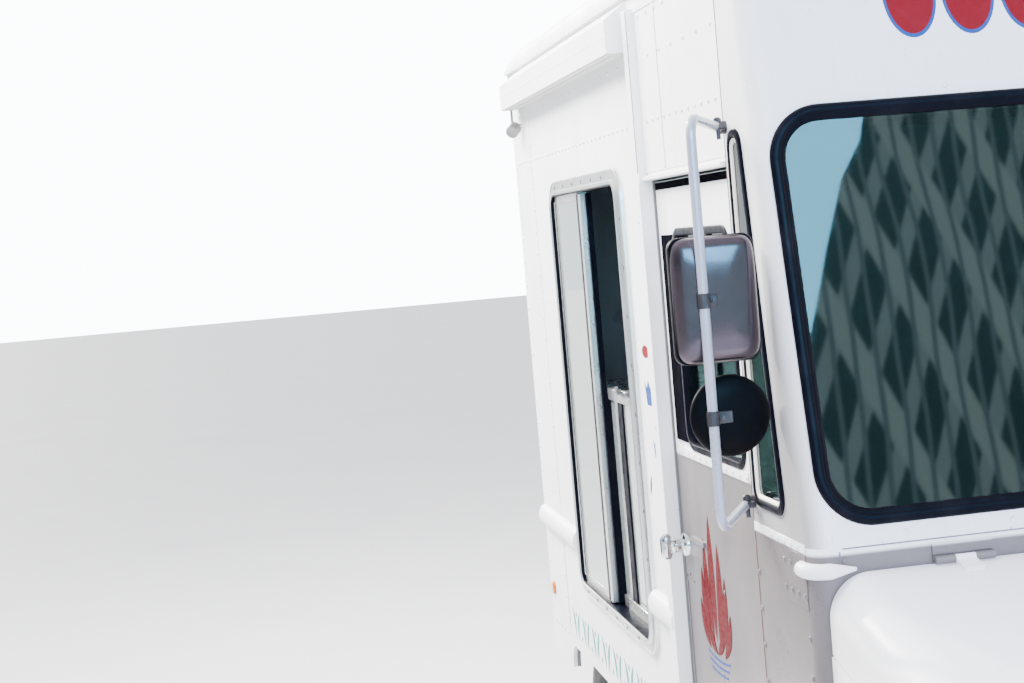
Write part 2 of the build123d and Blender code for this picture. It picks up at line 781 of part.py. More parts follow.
cowl_mid_x = (cab_rear_x + cab_face_x) / 2
cowl_mid_z = (skirt_z + belt_z) / 2
with BuildPart() as cowl:
    with Locations((cowl_mid_x, 0, cowl_mid_z)):
        Box(cab_face_x - cab_rear_x, body_width, belt_z - skirt_z)
    fillet(cowl.edges().filter_by(Axis.Z).group_by(Axis.X)[-1], cab_corner)
    with Locations((cowl_mid_x - firewall_t, 0, cowl_mid_z)):
        Box(cab_face_x - cab_rear_x, body_width - 2 * wall, belt_z, mode=Mode.SUBTRACT)
    with Locations((cab_face_x, 0, floor_z / 2)):
        Box(4 * firewall_t, 2 * (arch_in_y - arch_wall), floor_z, mode=Mode.SUBTRACT)
    box_mid_x = (engine_box_rear_x + cab_face_x) / 2
    box_h = engine_box_top_z - floor_z - floor_t
    with Locations((box_mid_x, 0, floor_z + floor_t + box_h / 2)):
        Box(cab_face_x - engine_box_rear_x, 2 * engine_box_half, box_h)
    with Locations((box_mid_x + engine_box_t, 0, (engine_box_top_z - engine_box_t) / 2)):
        Box(cab_face_x - engine_box_rear_x, 2 * (engine_box_half - engine_box_t),
            engine_box_top_z - engine_box_t, mode=Mode.SUBTRACT)
    for side, hand in sides:
        wheel_house(side, cab_face_x - firewall_t / 2, cab_rear_x, skirt_z + 10, floor_half + 4)
        door_hinge_half(side, door_hinge_zs[:2])
        for step in (-1, 1):
            y = side * hood_hinge_y + step * (knuckle_len + hinge_gap)
            with Locations(hood_top):
                with Locations((hood_pin_along, y, hood_pin_up)):
                    Cylinder(hood_pin_r, knuckle_len, rotation=(90, 0, 0))
                with Locations((hood_pin_along / 2 - 3, y, hood_pin_up)):
                    Box(hood_pin_along + 10, knuckle_len, 10)
        with Locations((cab_face_x + 3, side * hood_hinge_y, nose_back_z + 28)):
            Box(6, hinge_len, 24)
cowl.part.label = "cowl"
export_step(cowl.part, "parts/cowl.step")


def nose_form(inset):
    """Block of the nose with its sloping top, all its outer edges rounded, inset evenly."""
    slope = math.radians(nose_slope_deg)
    top_drop = inset / math.cos(slope)
    front_x = nose_front_x - inset
    rear_x = cab_face_x - (5 if inset else 0)
    low_z = nose_skirt_z - (5 if inset else 0)
    with BuildPart() as form:
        with BuildSketch(Plane.XZ):
            with BuildLine():
                Polyline(
                    (rear_x, low_z),
                    (rear_x, nose_back_z - top_drop - (rear_x - cab_face_x) * math.tan(slope)),
                    (front_x, nose_back_z - top_drop - (front_x - cab_face_x) * math.tan(slope)),
                    (front_x, low_z),
                    close=True,
                )
            make_face()
        extrude(amount=nose_half - inset, both=True)
        uprights = form.edges().filter_by(Axis.Z).group_by(Axis.X)[-1]
        fillet(uprights, nose_corner + 20 - inset)
        top_face = form.faces().sort_by(Axis.Z)[-1]
        rim = top_face.edges().filter_by(lambda e: e.center().X > rear_x + 1)
        fillet(rim, nose_corner - inset)
    return form.part


# Nose below the hood line: wings, front panel and the wheel houses.
with BuildPart() as nose:
    add(nose_form(0))
    add(nose_form(nose_wall), mode=Mode.SUBTRACT)
    split(bisect_by=hood_top.offset(-hood_side_h - hood_gap / 2), keep=Keep.BOTTOM)
    with Locations((nose_front_x, 0, (grille_low_z + grille_top_z) / 2)):
        Box(4 * nose_wall, 2 * grille_half, grille_top_z - grille_low_z, mode=Mode.SUBTRACT)
    for side, hand in sides:
        with Locations((nose_front_x, side * lamp_y, lamp_z)):
            Cylinder(lamp_r, 4 * nose_wall, rotation=(0, 90, 0), mode=Mode.SUBTRACT)
        wheel_house(side, nose_front_x, cab_face_x, nose_skirt_z, nose_half - nose_wall + 1)
nose.part.label = "nose"
export_step(nose.part, "parts/nose.step")

# Hood: upper shell of the nose, hung on two hinges under the windscreen.
with BuildPart() as hood:
    add(nose_form(0))
    add(nose_form(nose_wall), mode=Mode.SUBTRACT)
    split(bisect_by=hood_top.offset(-hood_side_h + hood_gap / 2), keep=Keep.TOP)
    split(bisect_by=Plane.YZ.offset(cab_face_x + hood_gap), keep=Keep.TOP)
    for side, hand in sides:
        with Locations(hood_top):
            with Locations((hood_pin_along, side * hood_hinge_y, hood_pin_up)):
                Cylinder(hood_pin_r, knuckle_len, rotation=(90, 0, 0))
            with Locations((hood_pin_along + 26, side * hood_hinge_y, 4)):
                Box(52, knuckle_len, 12)
hood.part.label = "hood"
export_step(hood.part, "parts/hood.step")

# Grille: frame on the front panel, level bars and two uprights.
grille_lip = 22
grille_t = 9
bar_count = 7
bar_h = 13
with BuildPart() as grille:
    grille_h = grille_top_z - grille_low_z
    with BuildSketch(Plane.YZ.offset(nose_front_x)):
        with Locations((0, grille_low_z + grille_h / 2)):
            RectangleRounded(2 * grille_half + 2 * grille_lip, grille_h + 2 * grille_lip, 30)
            RectangleRounded(2 * grille_half - 16, grille_h - 16, 12, mode=Mode.SUBTRACT)
    extrude(amount=grille_t)
    for row in range(bar_count):
        bar_z = grille_low_z + (row + 1) * grille_h / (bar_count + 1)
        with Locations((nose_front_x - 4, 0, bar_z)):
            Box(24, 2 * grille_half - 4, bar_h)
    for y in (-grille_half / 3, grille_half / 3):
        with Locations((nose_front_x - 2, y, grille_low_z + grille_h / 2)):
            Box(14, 12, grille_h - 4)
grille.part.label = "grille"
export_step(grille.part, "parts/grille.step")

# Lamps: domed lenses on the panels, the large ones with a bucket let into the panel. Columns: x, y, z, radius, facing.
bucket_deep = 40
bucket_over_r = 60
small_lamp_r = 38
small_lamp_drop = 165
tail_lamp_r = 48
tail_lamp_z = 660
tail_outer_y = half - 137
tail_inner_y = tail_outer_y - 130
lamp_table = (
    (nose_front_x, lamp_y, lamp_z, lamp_r - seam, 1),
    (nose_front_x, -lamp_y, lamp_z, lamp_r - seam, 1),
    (nose_front_x, lamp_y, lamp_z - small_lamp_drop, small_lamp_r, 1),
    (nose_front_x, -lamp_y, lamp_z - small_lamp_drop, small_lamp_r, 1),
    (body_rear_x, tail_outer_y, tail_lamp_z, tail_lamp_r, -1),
    (body_rear_x, -tail_outer_y, tail_lamp_z, tail_lamp_r, -1),
    (body_rear_x, tail_inner_y, tail_lamp_z, tail_lamp_r, -1),
    (body_rear_x, -tail_inner_y, tail_lamp_z, tail_lamp_r, -1),
)
with BuildPart() as lamps:
    for x, y, z, radius, facing in lamp_table:
        lens_plane = Plane(origin=(x, y, z), x_dir=(0, 0, 1), z_dir=(0, facing, 0))
        with BuildSketch(lens_plane):
            with BuildLine():
                Polyline(
                    (0, 0),
                    (radius + 12, 0),
                    (radius + 12, 7),
                    (radius, 12),
                    (0.7 * radius, 20),
                    (0, 25),
                    close=True,
                )
            make_face()
        revolve(axis=Axis((x, y, z), (1, 0, 0)))
        if radius > bucket_over_r:
            with Locations((x - facing * (bucket_deep / 2 - 1), y, z)):
                Cylinder(radius, bucket_deep + 2, rotation=(0, 90, 0))
lamps.part.label = "lamps"
export_step(lamps.part, "parts/lamps.step")


# Side panels, one thick sheet each, with the doorway and the rear wheel opening cut.
def side_outline(side):
    """Side panel outline with its doorway notch and wheel opening."""
    panel_rear_x = body_rear_x + rear_wall
    with BuildSketch(side_plane(side)) as outline:
        with Locations(((panel_rear_x + cab_rear_x) / 2, (skirt_z + side_top_z) / 2)):
            Rectangle(cab_rear_x - panel_rear_x, side_top_z - skirt_z)
        with Locations(((door_rear_x + cab_rear_x) / 2, (skirt_z + door_top_z) / 2)):
            Rectangle(cab_rear_x - door_rear_x, door_top_z - skirt_z, mode=Mode.SUBTRACT)
        with Locations((rear_axle_x, skirt_z)):
            RectangleRounded(2 * rear_arch_half, 2 * rear_arch_h, rear_arch_h - 15, mode=Mode.SUBTRACT)
    return outline.sketch


rub_mid_z = 1080
rub_h = 80
rub_deep = 28
rub_short = 20
post_w = 70
post_deep = 22
post_lean = 8


def rub_rail(side, rear_x, front_x):
    """Half-round rail along the side."""
    with BuildSketch(Plane.YZ.offset(rear_x)) as section:
        with Locations((side * half, rub_mid_z)):
            Ellipse(rub_deep, rub_h / 2)
        with Locations((side * (half - rub_deep), rub_mid_z)):
            Rectangle(2 * rub_deep, 2 * rub_h, mode=Mode.SUBTRACT)
    extrude(section.sketch, amount=front_x - rear_x)


def door_post(side):
    """Moulding over the post behind the doorway, square towards the door."""
    with BuildSketch(Plane.XY.offset(skirt_z)) as section:
        with BuildLine():
            Polyline(
                (door_rear_x - post_w, side * half),
                (door_rear_x - post_w + post_lean, side * (half + post_deep)),
                (door_rear_x, side * (half + post_deep)),
                (door_rear_x, side * half),
                close=True,
            )
        make_face()
    extrude(section.sketch, amount=side_top_z - skirt_z)


with BuildPart() as side_panel_right:
    extrude(side_outline(-1), amount=-wall)
    rub_rail(-1, body_rear_x + rear_wall, serve_rear_x - 8)
    rub_rail(-1, serve_front_x + 10, door_rear_x - rub_short)
    door_post(-1)
    with BuildSketch(side_plane(-1, -1)):
        with Locations(((serve_rear_x + serve_front_x) / 2, (serve_low_z + serve_top_z) / 2)):
            RectangleRounded(
                serve_front_x - serve_rear_x - 50,
                serve_top_z - serve_low_z - 50,
                serve_corner - 25,
            )
    extrude(amount=-wall - 2, mode=Mode.SUBTRACT)
side_panel_right.part.label = "side_panel_right"
export_step(side_panel_right.part, "parts/side_panel_right.step")

with BuildPart() as side_panel_left:
    extrude(side_outline(1), amount=wall)
    rub_rail(1, body_rear_x + rear_wall, door_rear_x - rub_short)
    door_post(1)
side_panel_left.part.label = "side_panel_left"
export_step(side_panel_left.part, "parts/side_panel_left.step")

# Rear frame round the two rear doors, with the fixed hinge halves.
rear_hinge_r = 9
rear_hinge_low_z = rear_door_low_z + 115
rear_hinge_top_z = rear_door_top_z - 110
rear_hinge_zs = (rear_hinge_low_z, (rear_hinge_low_z + rear_hinge_top_z) / 2, rear_hinge_top_z)
rear_pin_y = rear_opening_half + 6
rear_pin_x = body_rear_x - rear_hinge_out
rear_leaf_t = 8
with BuildPart() as rear_frame:
    with Locations((body_rear_x + rear_wall / 2, 0, (skirt_z + side_top_z) / 2)):
        Box(rear_wall, body_width, side_top_z - skirt_z)
    fillet(rear_frame.edges().filter_by(Axis.Z).group_by(Axis.X)[0], 22)
    with Locations((body_rear_x + rear_wall / 2, 0, (rear_door_low_z + rear_door_top_z) / 2)):
        Box(2 * rear_wall, 2 * rear_opening_half, rear_door_top_z - rear_door_low_z,
            mode=Mode.SUBTRACT)
    for side, hand in sides:
        for z in rear_hinge_zs:
            for step in (-1, 1):
                knuckle_z = z + step * (knuckle_len + hinge_gap)
                with Locations((rear_pin_x, side * rear_pin_y, knuckle_z)):
                    Cylinder(rear_hinge_r, knuckle_len)
                with Locations((body_rear_x - rear_hinge_out / 2, side * (rear_pin_y + 17), knuckle_z)):
                    Box(rear_hinge_out, 26, knuckle_len)
rear_frame.part.label = "rear_frame"
export_step(rear_frame.part, "parts/rear_frame.step")

# Rear doors: pressed panels with a swaged border, each hung at its outer edge.
door_panel_in = 90
for side, hand in sides:
    with BuildPart() as rear_door:
        door_w = rear_opening_half - rear_door_gap * 1.5
        door_h = rear_door_top_z - rear_door_low_z - 2 * rear_door_gap
        door_mid_y = side * (rear_door_gap + door_w) / 2
        door_mid_z = (rear_door_top_z + rear_door_low_z) / 2
        with Locations((body_rear_x + rear_door_t / 2, door_mid_y, door_mid_z)):
            Box(rear_door_t, door_w, door_h)
        for z, tall in ((door_mid_z + 430, 640), (door_mid_z - 400, 740)):
            with BuildSketch(Plane.YZ.offset(body_rear_x)):
                with Locations((door_mid_y, z)):
                    RectangleRounded(door_w - 2 * door_panel_in, tall, 45)
            extrude(amount=7, mode=Mode.SUBTRACT)
        for z in rear_hinge_zs:
            with Locations((rear_pin_x, side * rear_pin_y, z)):
                Cylinder(rear_hinge_r, knuckle_len)
            with Locations((rear_pin_x, side * (rear_pin_y - 17), z)):
                Box(rear_leaf_t, 34, knuckle_len)
            with Locations((rear_pin_x + rear_hinge_out / 2, side * (rear_pin_y - 54), z)):
                Box(rear_hinge_out, 70, knuckle_len)
        if side > 0:
            with Locations((body_rear_x - 20, side * 90, 1250)):
                Cylinder(24, 40, rotation=(0, 90, 0))
                with Locations((-12, 0, -55)):
                    Box(16, 20, 130)
    rear_door.part.label = f"rear_door_{hand}"
    export_step(rear_door.part, f"parts/rear_door_{hand}.step")


# Roof: crowned shell with rounded sides, raked front and closed rear, and a vent on top.
def roof_form(inner):
    """Solid roof section trimmed by the raked front."""
    inset = wall if inner else 0
    start_x = body_rear_x + (rear_wall if inner else 0)
    low_z = side_top_z - (5 if inner else 0)
    edge_y = half - inset
    with BuildPart() as form:
        with BuildSketch(Plane.YZ.offset(start_x)) as section:
            with BuildLine():
                Line((edge_y, roof_edge_z - inset), (edge_y, low_z))
                Line((edge_y, low_z), (-edge_y, low_z))
                Line((-edge_y, low_z), (-edge_y, roof_edge_z - inset))
                ThreePointArc(
                    (-edge_y, roof_edge_z - inset),
                    (0, roof_crown_z - inset),
                    (edge_y, roof_edge_z - inset),
                )
            make_face()
            fillet(section.vertices().group_by(Axis.Y)[-1], roof_corner - inset)
        extrude(amount=cab_face_x - start_x)
        add(raked_form(inner, low_z - 1, roof_crown_z + 50), mode=Mode.INTERSECT)
    return form.part


vent_x = -350
vent_half = 230
vent_h = 85
gutter_z = 2800
with BuildPart() as roof:
    add(roof_form(False))
    add(roof_form(True), mode=Mode.SUBTRACT)
    with BuildSketch(Plane.XY.offset(roof_crown_z - 15)):
        with Locations((vent_x, 0)):
            RectangleRounded(2 * vent_half, 2 * vent_half, 40)
    extrude(amount=vent_h + 15, taper=8)
    for side, hand in sides:
        with Locations(((body_rear_x + cab_rear_x) / 2, side * (half + 5), gutter_z)):
            Box(cab_rear_x - body_rear_x, 14, 16)
roof.part.label = "roof"
export_step(roof.part, "parts/roof.step")

# Cab doors: framed panels set back in the doorway, hung on a long hinge at the front.
door_face_y = half - door_recess
for side, hand in sides:
    with BuildPart() as cab_door:
        edge_front_x = cab_rear_x - door_gap
        edge_rear_x = door_rear_x + door_gap
        panel_top_z = door_top_z - door_head_gap
        with BuildSketch(side_plane(side, door_recess)):
            with Locations(((edge_front_x + edge_rear_x) / 2, (door_sill_z + panel_top_z) / 2)):
                Rectangle(edge_front_x - edge_rear_x, panel_top_z - door_sill_z)
            with Locations((
                (door_window_front_x + door_window_rear_x) / 2,
                (door_window_low_z + door_window_top_z) / 2,
            )):
                RectangleRounded(
                    door_window_front_x - door_window_rear_x,
                    door_window_top_z - door_window_low_z,
                    door_window_corner,
                    mode=Mode.SUBTRACT,
                )
        extrude(amount=side * door_t)
        for z in door_hinge_zs:
            with Locations((door_hinge_x, side * door_hinge_y, z)):
                Cylinder(door_hinge_r, knuckle_len)
            with Locations((door_hinge_x - 8, side * (door_face_y + 8), z)):
                Box(16, 18, knuckle_len)
        with Locations((door_rear_x + handle_in, side * door_face_y, handle_z)):
            with Locations((0, side * 7, 0)):
                Cylinder(31, 14, rotation=(90, 0, 0))
            with Locations((0, side * 40, 0)):
                Cylinder(14, 60, rotation=(90, 0, 0))
            with Locations((0, side * 62, 0)):
                Box(26, 16, 62)
        with Locations((door_rear_x + handle_in + 115, side * (door_face_y + 3), handle_z + 25)):
            Box(130, 8, 14)
    cab_door.part.label = f"cab_door_{hand}"
    export_step(cab_door.part, f"parts/cab_door_{hand}.step")
    with BuildPart() as door_glass:
        with BuildSketch(side_plane(side, door_recess + (door_t - glass_t) / 2)):
            with Locations((
                (door_window_front_x + door_window_rear_x) / 2,
                (door_window_low_z + door_window_top_z) / 2,
            )):
                RectangleRounded(
                    door_window_front_x - door_window_rear_x - 2 * seam,
                    door_window_top_z - door_window_low_z - 2 * seam,
                    door_window_corner - seam,
                )
        extrude(amount=side * glass_t)
    door_glass.part.label = f"door_glass_{hand}"
    export_step(door_glass.part, f"parts/door_glass_{hand}.step")

# Serving window: flanged frame through the wall, with an inner lip for the sashes.
serve_mid = ((serve_rear_x + serve_front_x) / 2, (serve_low_z + serve_top_z) / 2)
serve_w = serve_front_x - serve_rear_x
serve_h = serve_top_z - serve_low_z
with BuildPart() as serving_window:
    with BuildSketch(side_plane(-1)):
        with Locations(serve_mid):
            RectangleRounded(serve_w, serve_h, serve_corner)
    extrude(amount=serve_proud)
    with BuildSketch(side_plane(-1)):
        with Locations(serve_mid):
            RectangleRounded(serve_w - 50 - 2 * seam, serve_h - 50 - 2 * seam, serve_corner - 25)
    extrude(amount=-wall)
    with BuildSketch(side_plane(-1, -serve_proud - 1)):
        with Locations(serve_mid):
            RectangleRounded(serve_w - 2 * serve_frame, serve_h - 2 * serve_frame, serve_corner - 35)
    extrude(amount=-wall - 2 * serve_proud, mode=Mode.SUBTRACT)
serving_window.part.label = "serving_window"
export_step(serving_window.part, "parts/serving_window.step")

# Sashes of the serving window and rubber of the fixed panes. Columns: rear and front edge,
# lower and upper edge, depth of the sash inside the skin.
serve_in = serve_frame + seam
sashes = (
    (serve_rear_x + serve_in, stile_x + stile_w, serve_low_z + serve_in, serve_top_z - serve_in, 17),
    (stile_x - 3, serve_front_x - serve_in, serve_low_z + serve_in, shelf_z, 5),
)
with BuildPart() as window_seals:
    extrude(screen_outline(0, lip_over_panel), amount=lip_proud)
    extrude(screen_outline(0, -seam), amount=-front_wall)
    extrude(screen_outline(lip_t, -bead), amount=-front_wall, mode=Mode.SUBTRACT)
    extrude(screen_outline(-lip_proud - 1, -lip_over_glass), amount=-lip_proud - 6, mode=Mode.SUBTRACT)
    for side, hand in sides:
        extrude(quarter_outline(side_plane(side), quarter_lip), amount=-side * quarter_proud)
        extrude(quarter_outline(side_plane(side), -seam), amount=side * wall)
        extrude(quarter_outline(side_plane(side, lip_t), -bead), amount=side * wall, mode=Mode.SUBTRACT)
        extrude(
            quarter_outline(side_plane(side, -quarter_proud - 1), -quarter_over_glass),
            amount=side * (quarter_proud + 6),
            mode=Mode.SUBTRACT,
        )
    for rear_x, front_x, low_z, top_z, depth in sashes:
        with BuildSketch(side_plane(-1, depth)):
            with Locations(((rear_x + front_x) / 2, (low_z + top_z) / 2)):
                Rectangle(front_x - rear_x, top_z - low_z)
                Rectangle(
                    front_x - rear_x - 2 * sash_w,
                    top_z - low_z - 2 * sash_w,
                    mode=Mode.SUBTRACT,
                )
            with Locations(serve_mid):
                RectangleRounded(
                    serve_w - 2 * serve_in,
                    serve_h - 2 * serve_in,
                    serve_corner - 35,
                    mode=Mode.INTERSECT,
                )
        extrude(amount=-sash_t)
window_seals.part.label = "window_seals"
export_step(window_seals.part, "parts/window_seals.step")

# Fixed glass of the body: windscreen, quarter windows and the panes of the serving window.
with BuildPart() as body_glass:
    extrude(screen_outline(lip_t + seam, -bead - seam), amount=-glass_t)
    for side, hand in sides:
        pane = quarter_outline(side_plane(side, lip_t + seam), -bead - seam)
        extrude(pane, amount=side * glass_t)
    for rear_x, front_x, low_z, top_z, depth in sashes:
        with BuildSketch(side_plane(-1, depth + 2)):
            with Locations(((rear_x + front_x) / 2, (low_z + top_z) / 2)):
                Rectangle(
                    front_x - rear_x - 2 * sash_w - 2 * seam,
                    top_z - low_z - 2 * sash_w - 2 * seam,
                )
        extrude(amount=-4)
body_glass.part.label = "body_glass"
export_step(body_glass.part, "parts/body_glass.step")

# Awning box over the serving window: closed box with a sloping cover.
cover_h = 48
with BuildPart() as awning_box:
    with BuildSketch(Plane.YZ.offset(awning_rear_x)):
        with BuildLine():
            Polyline(
                (-half, awning_low_z),
                (-half - awning_deep, awning_low_z),
                (-half - awning_deep, awning_low_z + awning_high),
                (-half, awning_low_z + awning_high + cover_h),
                close=True,
            )
        make_face()
    extrude(amount=awning_front_x - awning_rear_x)
awning_box.part.label = "awning_box"
export_step(awning_box.part, "parts/awning_box.step")

# Mirrors: a bent tube on two brackets each side, with a flat head and a round head.
mirror_reach_x = 992
head_w = 190
head_h = 275
head_z = 2000
head_in = 35
round_r = 89
round_z = 1749
round_in = 47
bracket_r = 15
with BuildPart() as mirrors:
    for side, hand in sides:
        with BuildLine() as tube_path:
            FilletPolyline(
                (mirror_reach_x, side * (half + mirror_foot - 2), mirror_top_z - 14),
                (mirror_x, side * mirror_y, mirror_top_z),
                (mirror_x, side * mirror_y, mirror_low_z),
                (mirror_reach_x, side * (half + mirror_foot - 2), mirror_low_z + 14),
                radius=45,
            )
        with BuildSketch(Plane(origin=tube_path.line @ 0, z_dir=tube_path.line % 0)):
            Circle(mirror_tube_r)
        sweep(path=tube_path.line)
        for z in (mirror_top_z - 14, mirror_low_z + 14):
            with Locations((mirror_reach_x, side * (half + mirror_foot / 2), z)):
                Cylinder(bracket_r, mirror_foot, rotation=(90, 0, 0))
        rect_plane = Plane(
            origin=(mirror_x - mirror_tube_r + 4, side * (mirror_y - head_in), head_z),
            x_dir=(0, 1, 0),
            z_dir=(-1, 0, 0),
        )
        with BuildSketch(rect_plane):
            RectangleRounded(head_w - 60, head_h - 60, 20)
        with BuildSketch(rect_plane.offset(42)):
            RectangleRounded(head_w, head_h, 26)
        loft()
        with BuildSketch(rect_plane.offset(42)):
            RectangleRounded(head_w, head_h, 26)
        extrude(amount=12)
        round_plane = Plane(
            origin=(mirror_x - mirror_tube_r + 4, side * (mirror_y - round_in), round_z),
            x_dir=(0, 1, 0),
            z_dir=(-1, 0, 0),
        )
        with BuildSketch(round_plane):
            Circle(round_r - 14)
        with BuildSketch(round_plane.offset(26)):
            Circle(round_r)
        loft()
        with BuildSketch(round_plane.offset(26)):
            Circle(round_r)
        extrude(amount=9)
mirrors.part.label = "mirrors"
export_step(mirrors.part, "parts/mirrors.step")

# Bumpers: channel in front, step with a hitch hole behind.
bumper_low_z = 480
bumper_h = 165
bumper_in = 80
bumper_half = nose_half - bumper_in
bumper_t = 8
with BuildPart() as front_bumper:
    bumper_deep = bumper_front_x - nose_front_x - 15
    with Locations((bumper_front_x - bumper_deep / 2, 0, bumper_low_z + bumper_h / 2)):
        Box(bumper_deep, 2 * bumper_half, bumper_h)
    fillet(front_bumper.edges().filter_by(Axis.Z).group_by(Axis.X)[-1], 70)
    fillet(front_bumper.edges().group_by(Axis.X)[-1].filter_by(Axis.Y), 14)
    with Locations((bumper_front_x - bumper_deep / 2 - bumper_t, 0, bumper_low_z + bumper_h / 2)):
        Box(bumper_deep, 2 * bumper_half - 150, bumper_h - 2 * bumper_t, mode=Mode.SUBTRACT)
    for side, hand in sides:
        arm_len = bumper_front_x - bumper_t - rail_front_x
        arm_x = rail_front_x + arm_len / 2
        with Locations((arm_x, side * rail_y, rail_z + 30)):
            Box(arm_len, 50, 50)
front_bumper.part.label = "front_bumper"
export_step(front_bumper.part, "parts/front_bumper.step")

step_top_z = 545
step_h = 70
step_in = 187
step_half = half - step_in
hitch_r = 13
with BuildPart() as rear_bumper:
    step_deep = body_rear_x - 8 - bumper_rear_x
    step_mid_x = bumper_rear_x + step_deep / 2
    with Locations((step_mid_x, 0, step_top_z - step_h / 2)):
        Box(step_deep, 2 * step_half, step_h)
    fillet(rear_bumper.edges().filter_by(Axis.Z).group_by(Axis.X)[0], 30)
    with Locations((step_mid_x, 0, step_top_z - step_h / 2 - bumper_t)):
        Box(step_deep - 2 * bumper_t, 2 * step_half - 60, step_h, mode=Mode.SUBTRACT)
    for side, hand in sides:
        arm_len = body_rear_x - step_mid_x
        with Locations((step_mid_x + arm_len / 2, side * rail_y, step_top_z - 12)):
            Box(arm_len, 50, 24)
        with Locations((body_rear_x - 5, side * rail_y, step_top_z + 35)):
            Box(10, 60, 120)
    with Locations((step_mid_x, 0, step_top_z)):
        Cylinder(hitch_r, 60, mode=Mode.SUBTRACT)
rear_bumper.part.label = "rear_bumper"
export_step(rear_bumper.part, "parts/rear_bumper.step")

# Dashboard with the steering column under its street side.
dash_rear_x = 1225
dash_top_z = 1425
dash_low_z = 1090
wheel_tilt = math.radians(40)
steer_x = 1000
steer_from_seat = 10
steer_y = seat_y + steer_from_seat
steer_z = 1390
column_r = 26
column_len = 330
with BuildPart() as dashboard:
    dash_front_x = cab_face_x - firewall_t
    with BuildSketch(Plane.XZ):
        with BuildLine():
            Polyline(
                (dash_front_x, dash_low_z + 90),
                (dash_front_x, dash_top_z),
                (dash_rear_x + 40, dash_top_z),
                (dash_rear_x, dash_top_z - 70),
                (dash_rear_x + 10, dash_low_z),
                (dash_rear_x + 60, dash_low_z),
                close=True,
            )
        make_face()
    extrude(amount=half - wall - 2, both=True)
    with Locations((dash_front_x - 60, 0, engine_box_top_z / 2)):
        Box(200, 2 * engine_box_half + 6, engine_box_top_z + 6, mode=Mode.SUBTRACT)
    column_plane = Plane(
        origin=(steer_x, steer_y, steer_z),
        x_dir=(0, 1, 0),
        z_dir=(math.cos(wheel_tilt), 0, -math.sin(wheel_tilt)),
    )
    with BuildSketch(column_plane.offset(30 + seam)):
        Circle(column_r)
    extrude(amount=column_len)
dashboard.part.label = "dashboard"
export_step(dashboard.part, "parts/dashboard.step")

rim_ring_r = 205
ring_r = 13
with BuildPart() as steering_wheel:
    with Locations(column_plane):
        Torus(rim_ring_r, ring_r)
        Cylinder(44, 40)
        with Locations((0, 0, 22)):
            Cylinder(column_r, 16)
        for spoke_deg in (90, 210, 330):
            with Locations(Location((0, 0, 0), (0, 0, spoke_deg))):
                with Locations((rim_ring_r / 2, 0, 4)):
                    Box(rim_ring_r - 4, 30, 9)
steering_wheel.part.label = "steering_wheel"
export_step(steering_wheel.part, "parts/steering_wheel.step")

# Driver's seat: padded cushion and back, on the pedestal that stands on the floor.
with BuildPart() as driver_seat:
    with BuildSketch(Plane.XY.offset(cushion_z)):
        with Locations((seat_x, seat_y)):
            RectangleRounded(450, seat_w, 60)
    extrude(amount=cushion_t)
    back_plane = Plane(
        origin=(seat_x - 140, seat_y, cushion_z + 40),
        x_dir=(0, 1, 0),
        z_dir=(1, 0, 0.14),
    )
    with BuildSketch(back_plane):
        with Locations((0, 300)):
            RectangleRounded(seat_w - 20, 600, 70)
    extrude(amount=-100)
driver_seat.part.label = "driver_seat"
export_step(driver_seat.part, "parts/driver_seat.step")

# Serving counter behind the window, and the soft-serve machine against the street side.
counter_top_z = 1640
counter_gap = 59
counter_deep = 420
counter_out_y = floor_half - counter_gap
counter_in_y = counter_out_y - counter_deep
counter_rear_x = serve_rear_x + 40
counter_front_x = serve_front_x - 40
worktop_t = 30
counter_foot_z = rear_house_top_z + 30
counter_foot_x = rear_axle_x + rear_arch_half + arch_wall + 40
machine_x = -430
machine_w = 560
machine_deep = 600
machine_top_z = 1690
tap_head_z = machine_top_z - 270
tap_z = machine_top_z - 390
tap_spacing = 130
tap_out = 40
tray_z = machine_top_z - 590
tray_out = 90
with BuildPart() as serving_counter:
    deck_z = floor_z + floor_t
    counter_mid_x = (counter_rear_x + counter_front_x) / 2
    counter_mid_y = -(counter_out_y + counter_in_y) / 2
    with Locations((counter_mid_x, counter_mid_y, counter_top_z - worktop_t / 2)):
        Box(counter_front_x - counter_rear_x, counter_out_y - counter_in_y, worktop_t)
    with Locations((counter_mid_x, counter_mid_y, (counter_foot_z + counter_top_z) / 2)):
        Box(counter_front_x - counter_rear_x - 60, counter_out_y - counter_in_y - 50,
            counter_top_z - counter_foot_z)
    for x in (counter_foot_x, counter_front_x - 60):
        with Locations((x, counter_mid_y, (deck_z + counter_foot_z) / 2)):
            Box(60, counter_out_y - counter_in_y - 90, counter_foot_z - deck_z)
    with Locations((machine_x, floor_half - machine_deep / 2, (deck_z + machine_top_z) / 2)):
        Box(machine_w, machine_deep, machine_top_z - deck_z)
    front_y = floor_half - machine_deep
    with Locations((machine_x, front_y - tap_out, tap_head_z)):
        Box(machine_w - 160, 2 * tap_out, 190)
    for tap in (-1, 0, 1):
        with Locations((machine_x + tap * tap_spacing, front_y - tap_out, tap_z)):
            Cylinder(17, 70)
    with Locations((machine_x, front_y - tray_out, tray_z)):
        Box(machine_w - 100, 190, 40)
serving_counter.part.label = "serving_counter"
export_step(serving_counter.part, "parts/serving_counter.step")
